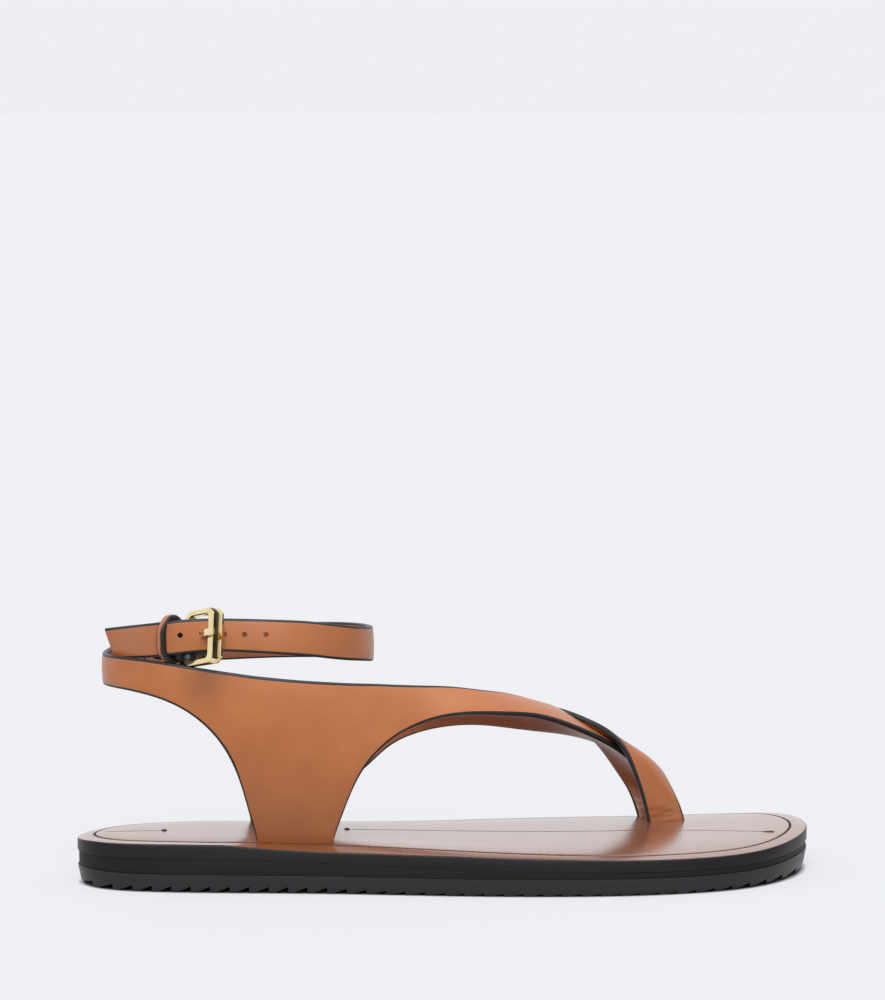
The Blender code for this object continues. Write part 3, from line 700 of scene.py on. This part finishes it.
def cut_feet(made):
    """Takes off the strap feet under their level cut, inside the footbed."""
    work = bmesh.new()
    work.from_mesh(made.data)
    for first, last, level in FOOT_LEVELS:
        near = [v for v in work.verts if MM * first < v.co.x < MM * last]
        geometry = dict.fromkeys(near)
        for v in near:
            geometry.update(dict.fromkeys([*v.link_edges, *v.link_faces]))
        bmesh.ops.bisect_plane(work, geom=list(geometry), plane_co=(0.0, 0.0, MM * level),
                               plane_no=(0.0, 0.0, 1.0), clear_inner=True)
        rim = [e for e in work.edges if e.is_boundary]
        filled = bmesh.ops.holes_fill(work, edges=rim)
        for face in filled["faces"]:
            face.material_index = 2
    work.to_mesh(made.data)
    work.free()
    soften(made, STRAP_SHARP)


def steps_round(sides):
    """Cosine and sine of even steps once round."""
    angles = [2.0 * math.pi * k / sides for k in range(sides)]
    return [(math.cos(angle), math.sin(angle)) for angle in angles]


def circle(radius, level, middle, turn, sides):
    """Points of a circle square to a turned axis, at a level along it."""
    flat = [Vector((radius * c, radius * s, level)) for c, s in steps_round(sides)]
    return [Vector(middle) + turn @ spot for spot in flat]


def rod(name, radius, length, middle, turn, look):
    """A round bar with softened ends."""
    sides = 24
    stations = ((-0.5, 0.0), (-0.5, 0.86), (-0.47, 1.0), (0.47, 1.0), (0.5, 0.86), (0.5, 0.0))
    points = []
    for level, share in stations:
        points += circle(share * radius, level * length, middle, turn, sides)
    return piece(name, points, ring_faces(len(stations), sides), (look,))


# Sole

PLAN = fine_plan()
TOE = int(np.argmax(PLAN[:, 0]))


def tread_height(x):
    """Underside of the outsole: a flat land, then a ramp up to the next tooth's upright face."""
    tooth = np.floor((x - TOOTH_FIRST_X) / TOOTH_PITCH)
    heel_x = TOOTH_FIRST_X + tooth * TOOTH_PITCH
    ground = side_height(heel_x + 0.5 * TOOTH_PITCH, GROUND)
    ramp = table_value(TOOTH_DEPTH, heel_x) / (TOOTH_PITCH - TOOTH_LAND)
    cut = ground + ramp * (x - heel_x - TOOTH_LAND)
    cut = np.where((tooth >= 0) & (tooth < TOOTH_COUNT), cut, -1.0)
    return np.maximum(side_height(x, GROUND), cut)


def outsole_piece():
    """Rings up the side at paired stations of both sides, with the teeth cut straight across."""
    low = inset(PLAN, OUTSOLE_DRAFT)
    number = np.arange(len(PLAN) + 1, dtype=float)
    low = np.vstack([low, low[:1]])
    high = np.vstack([PLAN, PLAN[:1]])
    toe = int(np.argmax(low[:, 0]))
    start, end = low[:toe, 0].min(), low[toe, 0]
    middle, reach = 0.5 * (start + end), 0.5 * (end - start)
    x = [middle + reach * math.sin(0.5 * math.pi * t) for t in np.linspace(-1.0, 1.0, 161)]
    for tooth in range(TOOTH_COUNT + 1):
        heel_x = TOOTH_FIRST_X + tooth * TOOTH_PITCH
        land = heel_x + TOOTH_LAND
        x += [heel_x - TOOTH_EDGE, heel_x + TOOTH_EDGE, land, land + TOOTH_TURN]
    x = np.unique(np.round(np.clip(x, start, end), 3))
    outer = np.interp(x, low[: toe + 1, 0], number[: toe + 1])
    inner = np.interp(x, low[toe:, 0][::-1], number[toe:][::-1])
    loop = np.concatenate([outer, inner[-2:0:-1]])
    foot = np.column_stack([np.interp(loop, number, low[:, k]) for k in range(2)])
    head = np.column_stack([np.interp(loop, number, high[:, k]) for k in range(2)])
    base = tread_height(foot[:, 0])
    crest = side_height(head[:, 0], OUTSOLE_TOP)
    out = unit(head - foot)
    ground = side_height(foot[:, 0], GROUND)
    rings = []
    levels = ((base, 0.0, 0.2), (base, 0.1, 0.04), (base, 0.3, 0.0), (ground, 2.6, 0.0),
              (ground, 4.0, 0.0), (crest, -0.5, 0.0), (crest, -0.15, 0.06), (crest, 0.0, 0.3))
    for level, lift, pull in levels:
        z = level + lift
        share = ((z - ground) / (crest - ground))[:, None]
        flat = foot + share * (head - foot) - pull * out
        rings.append(np.column_stack([flat, z]))
    count = len(loop)
    faces = ring_faces(len(rings), count)
    half = len(x) - 1
    top = (len(rings) - 1) * count
    for shift in (0, top):
        for i in range(half):
            a, b = i, i + 1
            c, d = (count - i) % count, count - i - 1
            corners = [a, b, d, c]
            corners = [k for n, k in enumerate(corners) if k not in corners[:n]]
            faces.append(tuple(shift + k for k in corners))
    return piece("outsole_rubber", np.vstack(rings), faces, (GREY_RUBBER,), sharp=32.0)


def band_piece(name, low, top, pull, look):
    """One layer of the sole between two lines of the side profile, its lower edge a little rounded."""
    plan = evenly(PLAN, 640)
    spine = spine_points(plan)
    low_z, top_z = side_height(plan[:, 0], low), side_height(plan[:, 0], top)
    pull = (pull * table_value(RECESS_SHARE, plan[:, 0]))[:, None]
    rings = [np.column_stack([spine, side_height(spine[:, 0], low)])]
    levels = ((low_z, 0.0, 0.3), (low_z, 0.1, 0.06), (low_z, 0.35, 0.0), (top_z, -0.35, 0.0),
              (top_z, 0.0, 0.0))
    for level, lift, extra in levels:
        rings.append(np.column_stack([inset(plan, pull + extra), level + lift]))
    rings.append(np.column_stack([spine, side_height(spine[:, 0], top)]))
    return piece(name, np.vstack(rings), ring_faces(len(rings), len(plan)), (look,))


def spine_points(plan):
    """The point of the centre line at each point's x."""
    curve, start, end = spline(SPINE)
    line = curve(np.linspace(start, end, 400))
    x = np.clip(plan[:, 0], line[0, 0], line[-1, 0])
    return np.column_stack([x, np.interp(x, line[:, 0], line[:, 1])])


def crown_height(flat):
    """Rise of the padded footbed over its edge, from the distance to the edge."""
    plan = evenly(PLAN, 1000)
    shape = flat.shape[:-1]
    spots = flat.reshape(-1, 2)
    parts = np.array_split(spots, 40)
    near = [np.sqrt(((part[:, None] - plan[None]) ** 2).sum(axis=2).min(axis=1)) for part in parts]
    near = np.concatenate(near)
    x = np.clip(spots[:, 0], *CROWN_ENDS)
    outer = np.interp(x, PLAN[: TOE + 1, 0], PLAN[: TOE + 1, 1])
    back = np.vstack([PLAN[TOE:], PLAN[:1]])[::-1]
    inner = np.interp(x, back[:, 0], back[:, 1])
    share = np.minimum(near / (CROWN_REACH[0] * (inner - outer) + CROWN_REACH[1]), 1.0)
    side = np.clip(-spots[:, 1] / OUTER_SIDE, 0.0, 1.0)
    edge = table_value(EDGE_LIFT, spots[:, 0]) * np.clip(1.0 - near / EDGE_REACH, 0.0, 1.0)
    bed = table_value(BED_LIFT, spots[:, 0]) * table_value(BED_REACH, near)
    return (CROWN * (1.0 - (1.0 - share) ** CROWN_POWER) + side * (edge + bed)).reshape(shape)


def footbed_top(flat):
    """Height of the footbed's top at places in plan."""
    return side_height(flat[..., 0], INSOLE_TOP) + crown_height(flat)


def spine_place(x):
    """Y and z at x on the footbed's centre line."""
    y = float(table_value(SPINE, x))
    return y, float(footbed_top(np.array([[x, y]]))[0])


def footbed_piece():
    """The footbed: painted side, crowned grain top, a groove inside its edge and the tooled centre line."""
    grain, paint, furrow = 0, 1, 2
    plan = evenly(PLAN, 720)
    count = len(plan)
    spine = spine_points(plan)
    low_z = side_height(plan[:, 0], MIDSOLE_TOP)
    top_z = footbed_top(plan)
    rings = [np.column_stack([spine, side_height(spine[:, 0], MIDSOLE_TOP)])]
    looks = [paint]
    levels = ((0.0, low_z, 0.0), (0.0, low_z, 0.35), (0.03, top_z, -0.5), (0.12, top_z, -0.16),
              (0.3, top_z, -0.02))
    for pull, level, lift in levels:
        rings.append(np.column_stack([inset(plan, pull), level + lift]))
        looks.append(paint)
    looks[-1] = grain
    flats, drops = [], []
    half = GROOVE_HALF
    edge = ((0.7, 0.0), (1.4, 0.0), (2.5, 0.0), (3.8, 0.0), (4.8, 0.0), (GROOVE_IN - half - 0.25, 0.0),
            (GROOVE_IN - half, 0.08), (GROOVE_IN - 0.5 * half, 1.0), (GROOVE_IN + 0.5 * half, 1.0),
            (GROOVE_IN + half, 0.08), (GROOVE_IN + half + 0.25, 0.0), (7.6, 0.0), (8.6, 0.0))
    for pull, drop in edge:
        flats.append(inset(plan, pull))
        drops.append(np.full(count, GROOVE_DEEP * drop))
        looks.append(furrow if -half - 0.01 < pull - GROOVE_IN < half - 0.01 else grain)
    last = flats[-1]
    reach = np.linalg.norm(last - spine, axis=1)[:, None]
    toward = (last - spine) / np.maximum(reach, 1e-6)
    for share in (0.86, 0.72, 0.58, 0.44, 0.3, 0.18, 0.08):
        flats.append(spine + toward * (CENTRE_WIDE + share * np.maximum(reach - CENTRE_WIDE, 0.0)))
        drops.append(np.zeros(count))
        looks.append(grain)
    lined = np.zeros(count)
    for first, end in CENTRE_LINES:
        lined = np.maximum(lined, ((spine[:, 0] >= first) & (spine[:, 0] <= end)).astype(float))
    for away, drop in ((CENTRE_WIDE, 0.0), (0.75, 0.0), (0.36, 0.1), (0.14, 1.0), (0.0, 1.0)):
        flats.append(spine + toward * away)
        drops.append(CENTRE_DEEP * drop * lined)
        looks.append(grain)
    flats = np.array(flats)
    heights = footbed_top(flats) - np.array(drops)
    tops = np.concatenate([flats, heights[:, :, None]], axis=2)
    points = np.vstack(rings + list(tops))
    total = len(rings) + len(tops)
    faces = ring_faces(total, count)
    slots = []
    for k in range(total - 1):
        centre = k >= total - 3
        for i in range(count):
            slots.append(furrow if centre and lined[i] and lined[(i + 1) % count] else looks[k])
    return piece("insole_footbed", points, faces, (FOOTBED, EDGE_RUBBER, FURROW), slots, 50.0)


def stitch_piece():
    """Short thread stitches that lie in the footbed's groove."""
    line = inset(evenly(PLAN, 2000), GROOVE_IN)
    run = np.linalg.norm(np.diff(np.vstack([line, line[:1]]), axis=0), axis=1).sum()
    number = int(run / STITCH_PITCH)
    spots = evenly(line, number * STITCH_STEPS)
    ahead = unit(around(spots))
    heights = footbed_top(spots) - STITCH_DEEP
    points, faces = [], []
    sides = 6
    for k in range(0, len(spots), STITCH_STEPS):
        faces += tube_faces(len(STITCH_FORM), sides, len(points))
        across = np.array([-ahead[k][1], ahead[k][0]])
        for level, radius in STITCH_FORM:
            spot = spots[k] + ahead[k] * level * STITCH_LONG
            sag = STITCH_SAG * (2.0 * level) ** 2
            for c, s in steps_round(sides):
                points.append((*(spot + across * radius * c), heights[k] - sag + radius * s))
    return piece("footbed_stitches", points, faces, (THREAD,), sharp=70.0)


def dot_piece():
    """Thread knots where the centre line ends under the heel and the arch, and a thin dart at the toe."""
    points, faces = [], []
    sides = 14
    for x in DOTS:
        y, z = spine_place(x)
        faces += tube_faces(len(KNOT_FORM), sides, len(points))
        for radius, lift in KNOT_FORM:
            for i in range(sides):
                angle = 2.0 * math.pi * i / sides
                wide = radius * (1.0 + 0.08 * math.sin(3.0 * angle + x))
                points.append((x + wide * math.cos(angle), y + wide * math.sin(angle), z + lift))
    steps = np.linspace(-1.0, 1.0, 13)
    faces += tube_faces(len(steps), sides, len(points))
    for step in steps:
        x = DART[0] + 0.5 * DART[1] * step
        y, z = spine_place(x)
        wide = 0.04 + 0.6 * math.sqrt(max(0.0, 1.0 - step * step)) * (0.65 + 0.35 * step)
        for c, s in steps_round(sides):
            points.append((x, y + wide * c, z + 0.8 * wide * s))
    return piece("footbed_knots", points, faces, (THREAD,), sharp=80.0)


outsole = outsole_piece()
wedge = band_piece("wedge_rubber", OUTSOLE_TOP, WEDGE_TOP, WEDGE_RECESS, BLACK_RUBBER)
midsole = band_piece("midsole_edge", WEDGE_TOP, MIDSOLE_TOP, 0.0, EDGE_RUBBER)
footbed = footbed_piece()
stitches = stitch_piece()
knots = dot_piece()


# Upper

# Wrinkles of the toe straps: height, slant across the strap, depth, half width. Then where they may lie.
CREASES = (
    (15.6, -1.6, 0.34, 0.5), (16.8, -3.2, 0.30, 0.6), (17.4, 1.6, 0.22, 0.6), (18.8, -2.2, 0.18, 0.8),
    (21.5, 1.6, 0.08, 1.0),
)
CREASES_FROM_X = 60.0
CREASES_BELOW = 34.0


def toe_creases(u, grid):
    """Small wrinkles of the toe strap where it bends into the footbed."""
    z = grid[:, :, 2]
    x = grid[:, :, 0]
    total = np.zeros_like(z)
    for level, tilt, deep, wide in CREASES:
        line = level + tilt * (u - 0.5)
        total -= deep * np.exp(-(((z - line) / wide) ** 2))
    return total * ((x > CREASES_FROM_X) & (z < CREASES_BELOW)) * np.clip(4.0 * u * (1.0 - u), 0.0, 1.0)


outer_strap = strap("upper_outer_strap", sections_of(OUTER_STRAP), -1.0, crease=toe_creases,
                    lay_on=panel_face)
cut_feet(outer_strap)
inner_strap = strap("upper_inner_strap", sections_of(INNER_STRAP), 1.0, crease=toe_creases,
                    looks=(TOE_TAN, EDGE_PAINT_AND_SHADE, LINING))
cut_feet(inner_strap)
# The tab all over and the tongue's outer face are dark as painted shade in the gap under the ankle strap;
# the tongue reaches down to fill that gap.
tab = strap("upper_tab", sections_of(BUCKLE_TAB), 1.0, looks=(EDGE_PAINT_AND_SHADE, EDGE_PAINT_AND_SHADE, EDGE_PAINT_AND_SHADE))
tongue = strap("upper_tongue", sections_of(TAB_TONGUE), -1.0, TONGUE_T, looks=(EDGE_PAINT_AND_SHADE, EDGE_PAINT_AND_SHADE, LINING))


# Buckle and keeper

def buckle_turn():
    """Columns: along the frame to its front bar, up the bars, out of the frame."""
    yaw, lean, roll = (math.radians(a) for a in (BUCKLE_YAW, BUCKLE_LEAN, BUCKLE_ROLL))
    along = Vector((math.cos(yaw), -math.sin(yaw), 0.0))
    out = Vector((-math.sin(yaw), -math.cos(yaw), 0.0))
    up = Vector((0.0, 0.0, 1.0))
    up, out = up * math.cos(lean) - out * math.sin(lean), out * math.cos(lean) + up * math.sin(lean)
    along, up = along * math.cos(roll) + up * math.sin(roll), up * math.cos(roll) - along * math.sin(roll)
    return Matrix((along, up, out)).transposed()


TURN = buckle_turn()
UPRIGHT = TURN @ Matrix.Rotation(math.radians(-90.0), 3, "X")


def chamfered(width, height, corner, soft=0.5):
    """A rectangle with its corners cut off, each new corner a little rounded."""
    a, b = 0.5 * width, 0.5 * height
    c = corner
    raw = np.array([(-a + c, -b), (a - c, -b), (a, -b + c), (a, b - c), (a - c, b), (-a + c, b),
                    (-a, b - c), (-a, -b + c)])
    made = []
    for i, spot in enumerate(raw):
        before, after = raw[i - 1], raw[(i + 1) % len(raw)]
        first, last = spot + soft * unit(before - spot), spot + soft * unit(after - spot)
        for t in (0.0, 0.33, 0.67, 1.0):
            made.append((1 - t) ** 2 * first + 2 * t * (1 - t) * spot + t * t * last)
    return np.array(made)


def frame_piece():
    """The buckle's frame: four bars with softened edges, and a step down the outside of the front bar."""
    outer = chamfered(FRAME_W + FRAME_BAR, FRAME_H, FRAME_CORNER)
    inner = chamfered(FRAME_W - FRAME_BAR, FRAME_H - 2.0 * FRAME_BAR, FRAME_CORNER - 0.7)
    middle = Vector(PIVOT) + TURN @ Vector((0.5 * FRAME_W, -FRAME_LOWER, 0.0))
    half = 0.5 * FRAME_DEPTH
    # Share of the bar's width from its inner side and level, then for the front bar alone: mm out,
    # and share of FRAME_BACK.
    section = ((0.0, -half + 0.28, -FRONT_BAR_IN, 0.5), (0.05, -half + 0.08, -FRONT_BAR_IN, 0.5),
               (0.15, -half, -FRONT_BAR_IN, 0.5), (0.85, -half, 0.2, 1.0),
               (0.95, -half + 0.08, FRONT_RIM, 1.0), (1.0, -half + 0.3, FRONT_RIM, 0.45),
               (1.0, -0.70, -0.9, 0.45), (1.0, -0.62, -1.0, 0.3), (1.0, half - 0.28, -1.0, 0.0),
               (0.95, half - 0.08, -1.0, 0.0), (0.85, half, -1.0, 0.0), (0.15, half, -FRONT_BAR_IN, 0.0),
               (0.05, half - 0.08, -FRONT_BAR_IN, 0.0), (0.0, half - 0.28, -FRONT_BAR_IN, 0.0))
    points = []
    for share, level, out, more in section:
        for spot in inner + share * (outer - inner):
            toward = np.clip(2.0 * spot[0] / FRAME_W, 0.0, 1.0)
            moved = Vector((spot[0] + out * toward, spot[1], level - more * FRAME_BACK * toward))
            points.append(middle + TURN @ moved)
    slots = []
    for k in range(len(section)):
        for i in range(len(outer)):
            front = min(outer[i][0], outer[(i + 1) % len(outer)][0]) > 0.5 * FRAME_W
            above = min(outer[i][1], outer[(i + 1) % len(outer)][1]) > 0.4 * FRAME_H
            slots.append(1 if (front and k in (6, 7)) or (above and k in (7, 8)) else 0)
    faces = ring_faces(len(section), len(outer), closed=True)
    return piece("buckle_frame_gold", points, faces, (GOLD, GOLD_SHADE), slots, 16.0)


def prong_piece():
    """The prong: a bar that leaves its collar, rises over the front bar and ends there."""
    tip = FRAME_W + PRONG_PAST
    top = 0.5 * FRAME_DEPTH + GAP
    line = np.array([(0.0, 0.0), (0.25, 0.2 * PRONG_T), (0.45, 0.42 * PRONG_T), (0.64, top + 0.5 * PRONG_T),
                     (1.0, top + 0.5 * PRONG_T)])
    line[:, 0] *= tip
    curve, start, end = spline(line)
    spots = curve(np.linspace(start, end, 41))
    ahead = unit(np.gradient(spots, axis=0))
    a, b, soft, cut = 0.5 * PRONG_W, 0.5 * PRONG_T, PRONG_SOFT, PRONG_CORNER
    section = ((-a + soft, -b), (a - soft, -b), (a - cut, -b + cut), (a, -b + soft), (a, b - soft),
               (a - cut, b - cut), (a - soft, b), (-a + soft, b), (-a + cut, b - cut), (-a, b - soft),
               (-a, -b + soft), (-a + cut, -b + cut))
    points = []
    for k, (spot, way) in enumerate(zip(spots, ahead)):
        shrink = PRONG_TIP_SHARE if k == len(spots) - 1 else 1.0
        for across, level in section:
            out = level * shrink
            flat = (spot[0] - way[1] * out, across * shrink - PRONG_DROP, spot[1] + way[0] * out)
            points.append(Vector(PIVOT) + TURN @ Vector(flat))
    faces = tube_faces(len(spots), len(section))
    return piece("buckle_prong_gold", points, faces, (GOLD,), sharp=35.0)


def keeper_piece():
    """The leather loop round the tab and the loose end."""
    turn = Matrix.Rotation(math.radians(-KEEPER_YAW), 3, "Z") @ Matrix.Rotation(math.radians(90.0), 3, "Y")
    turn = turn @ Matrix.Rotation(math.radians(90.0), 3, "Z")
    deep, high = (size + 2.0 * KEEPER_T for size in KEEPER_INSIDE)
    ring = evenly(chamfered(deep, high, KEEPER_CORNER, KEEPER_SOFT), 120)
    rows = []
    for x, y in ring:
        low = Vector(KEEPER_AT) + turn @ Vector((x, y, -0.5 * KEEPER_BAND))
        up = Vector(KEEPER_AT) + turn @ Vector((x, y, 0.5 * KEEPER_BAND))
        rows.append((*low, *up, KEEPER_BOW))
    # The keeper's inside is dark as painted shade inside the loop.
    return strap("keeper_leather", np.array(rows), -1.0, KEEPER_T, closed=True, scale=0.8,
                 looks=(TAN, EDGE_PAINT_AND_SHADE, EDGE_PAINT_AND_SHADE))


def roll_piece(name, roll):
    radius, length, along = roll
    # The rolls are dark as painted shade over the pivot bar under the strap.
    return rod(name, radius, length, Vector(PIVOT) + UPRIGHT @ Vector((0, 0, along)), UPRIGHT, EDGE_PAINT_AND_SHADE)


buckle = frame_piece()
pivot_bar = rod("buckle_pivot_gold", PIVOT_R, PIVOT_L, PIVOT, UPRIGHT, GOLD)
prong = prong_piece()
collar = rod("buckle_collar_gold", COLLAR_R, COLLAR_L, PIVOT, UPRIGHT, GOLD)
keeper = keeper_piece()
roll_low = roll_piece("upper_roll_low", LOW_ROLL)
roll_high = roll_piece("upper_roll_high", HIGH_ROLL)


def punch(target):
    """The punched holes of the ankle strap, and the way of the prong through its hole."""
    points, faces = [], []
    sides = 28

    def add(radius, length, middle, turn):
        faces.extend(tube_faces(2, sides, len(points)))
        for level in (-0.5, 0.5):
            points.extend(circle(radius, level * length, middle, turn, sides))

    across = Matrix.Rotation(math.radians(90.0), 3, "X")
    for x, z in HOLES:
        add(HOLE_R, PUNCH_L, (x, PUNCH_Y, z), across)
    add(PRONG_HOLE_R, PRONG_HOLE_L, Vector(PIVOT) + TURN @ Vector((0.5 * FRAME_W, 0.0, PRONG_LIFT)),
        TURN @ Matrix.Rotation(math.radians(90.0), 3, "Y"))
    cutter = piece("punch_cutter", points, faces, (PUNCHED,))
    cut_out(target, cutter)
    soften(target, STRAP_SHARP)


punch(outer_strap)

# Node that the pieces take the place of, its material slot, the pieces.
RIDES = (
    ("outsole", "grey_rubber", (outsole,)),
    ("midsole_wedge", "black_rubber", (wedge,)),
    ("midsole", "edge_rubber", (midsole,)),
    ("insole", "footbed_leather", (footbed, stitches, knots)),
    ("upper", "tan_leather", (outer_strap, inner_strap, tab, tongue, roll_low, roll_high)),
    ("keeper", "keeper_leather", (keeper,)),
    ("buckle_frame", "pale_gold", (buckle, pivot_bar)),
    ("buckle_prong", "prong_gold", (prong, collar)),
)
for node_name, slot_name, pieces in RIDES:
    for made in pieces:
        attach(made, "root")
        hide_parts(node_name)


# Studio

FLOOR_TINT = (0.16, 0.161, 0.165)
FLOOR_GLOW = 0.68


def floor_piece():
    """A round pale floor that glows softly all round the shoe, but not under it."""
    plan = evenly(PLAN, 192)
    count = len(plan)
    rings, glows = [], []
    for out, glow in ((-5.0, 0.0), (-1.0, 0.0), (0.3, 0.5), (1.5, 1.0), (10.0, 1.0)):
        rings.append(inset(plan, OUTSOLE_DRAFT - out) * MM)
        glows += [glow] * count
    turn = math.pi + np.linspace(0.0, 2.0 * math.pi, count + 1)[:-1]
    for radius in (0.3, 1.0, 4.0, 40.0):
        rings.append(radius * np.column_stack([np.cos(turn), np.sin(turn)]))
        glows += [1.0] * count
    mesh = bpy.data.meshes.new("studio_floor")
    flat = np.vstack(rings)
    faces = ring_faces(len(rings), count)
    faces.append(tuple(range(count)))
    mesh.from_pydata([(x, y, 0.0) for x, y in flat], [], faces)
    mesh.attributes.new("bare", "FLOAT", "POINT").data.foreach_set("value", glows)
    made = bpy.data.objects.new("studio_floor", mesh)
    made.location.z = -0.00005
    made.visible_diffuse = False
    bpy.context.scene.collection.objects.link(made)
    paper = surface("studio_paper", FLOOR_TINT, FLOOR_TINT, 0.9, colour_scale=4.0, bump=0.0, specular=0.0)
    tree = paper.node_tree
    shader = tree.nodes["Principled BSDF"]
    shader.inputs["Emission Color"].default_value = (0.955, 0.965, 1.0, 1.0)
    bare = new_node(tree, "ShaderNodeAttribute", attribute_name="bare").outputs["Fac"]
    tree.links.new(joined(tree, "MULTIPLY", bare, FLOOR_GLOW), shader.inputs["Emission Strength"])
    mesh.materials.append(paper)
    return made


floor_piece()

# Light from all round: more from above, from behind and from both ends, less from below,
# and a small dark patch on the toe's side.
SKY_LOW = 0.55
SKY_HIGH = 0.85
BOUNCE = 0.32
DARK_SIDE = (0.98, 0.02, 0.19)
DARK_FROM = (0.93, 0.975)
DARK_LEFT = 0.04
SKY_TINT = (0.97, 0.975, 1.0, 1.0)
BACKDROP = (0.855, 0.863, 0.896, 1.0)

# Extra light from behind, left and right: axis, where it starts, where it is full, how much.
SKY_SIDES = (("Y", 0.2, 1.0, 0.42), ("X", -0.5, -1.0, 0.35), ("X", 0.6, 1.0, 0.35))


def studio_sky():
    """The light all round, and the plain backdrop that only the camera sees."""
    world = bpy.data.worlds.new("studio")
    world.use_nodes = True
    sky = world.node_tree
    lit = sky.nodes["Background"]
    lit.inputs["Color"].default_value = SKY_TINT
    way = new_node(sky, "ShaderNodeTexCoord").outputs["Generated"]
    split = new_node(sky, "ShaderNodeSeparateXYZ", {"Vector": way})
    facing = new_node(sky, "ShaderNodeVectorMath", {0: way, 1: Vector(DARK_SIDE).normalized()},
                      operation="DOT_PRODUCT")
    level = carried(sky, split.outputs["Z"], 0.0, 1.0, SKY_LOW, SKY_HIGH)
    for axis, begin, full, share in SKY_SIDES:
        level = joined(sky, "ADD", level, carried(sky, split.outputs[axis], begin, full, 0.0, share))
    level = joined(sky, "MULTIPLY", level, carried(sky, split.outputs["Z"], -0.2, 0.0, BOUNCE, 1.0))
    dark = carried(sky, facing.outputs["Value"], *DARK_FROM, 1.0, DARK_LEFT)
    sky.links.new(joined(sky, "MULTIPLY", level, dark), lit.inputs["Strength"])
    seen = new_node(sky, "ShaderNodeBackground", {"Color": BACKDROP, "Strength": 1.0})
    path = new_node(sky, "ShaderNodeLightPath")
    either = new_node(sky, "ShaderNodeMixShader", {
        "Fac": path.outputs["Is Camera Ray"], 1: lit.outputs["Background"], 2: seen.outputs["Background"]})
    sky.links.new(either.outputs["Shader"], sky.nodes["World Output"].inputs["Surface"])
    return world


bpy.context.scene.world = studio_sky()


def sun(name, aim, strength, angle):
    data = bpy.data.lights.new(name, "SUN")
    data.energy = strength
    data.angle = math.radians(angle)
    made = bpy.data.objects.new(name, data)
    made.rotation_mode = "QUATERNION"
    made.rotation_quaternion = Vector(aim).to_track_quat("-Z", "Y")
    bpy.context.scene.collection.objects.link(made)
    return made


# The key light, and two suns that show only as gloss.
sun("key", (0.12, 0.8, -0.8), 2.4, 50.0)
sun("sheen_above", (-0.5, 0.25, -0.82), 0.8, 44.0).visible_diffuse = False
sun("sheen_front", (0.0, 0.98, -0.2), 0.35, 50.0).visible_diffuse = False

# Camera at the photo's angle, in mm and degrees.
CAMERA_TILT = 10.0
CAMERA_TURN = 5.4
CAMERA_AWAY = 1500.0
CAMERA_AIM = (0.0, 0.0, 12.0)
FOCAL_PX = 4278.8
CENTRE_PX = (446.9, 841.5)
IMAGE_PX = (885.0, 1000.0)
SENSOR_MM = 36.0
tilt, turn_to = math.radians(CAMERA_TILT), math.radians(CAMERA_TURN)
back = Vector((-math.sin(turn_to) * math.cos(tilt), -math.cos(turn_to) * math.cos(tilt), math.sin(tilt)))
lens = bpy.data.cameras.new("photo_camera")
lens.sensor_width = SENSOR_MM
lens.lens = FOCAL_PX * SENSOR_MM / IMAGE_PX[1]
lens.shift_x = (0.5 * IMAGE_PX[0] - CENTRE_PX[0]) / IMAGE_PX[1]
lens.shift_y = (CENTRE_PX[1] - 0.5 * IMAGE_PX[1]) / IMAGE_PX[1]
lens.clip_end = 200.0
camera = bpy.data.objects.new("photo_camera", lens)
camera.location = MM * (Vector(CAMERA_AIM) + back * CAMERA_AWAY)
camera.rotation_mode = "QUATERNION"
camera.rotation_quaternion = (-back).to_track_quat("-Z", "Y")
bpy.context.scene.collection.objects.link(camera)
bpy.context.scene.camera = camera
bpy.context.scene.view_settings.view_transform = "Standard"
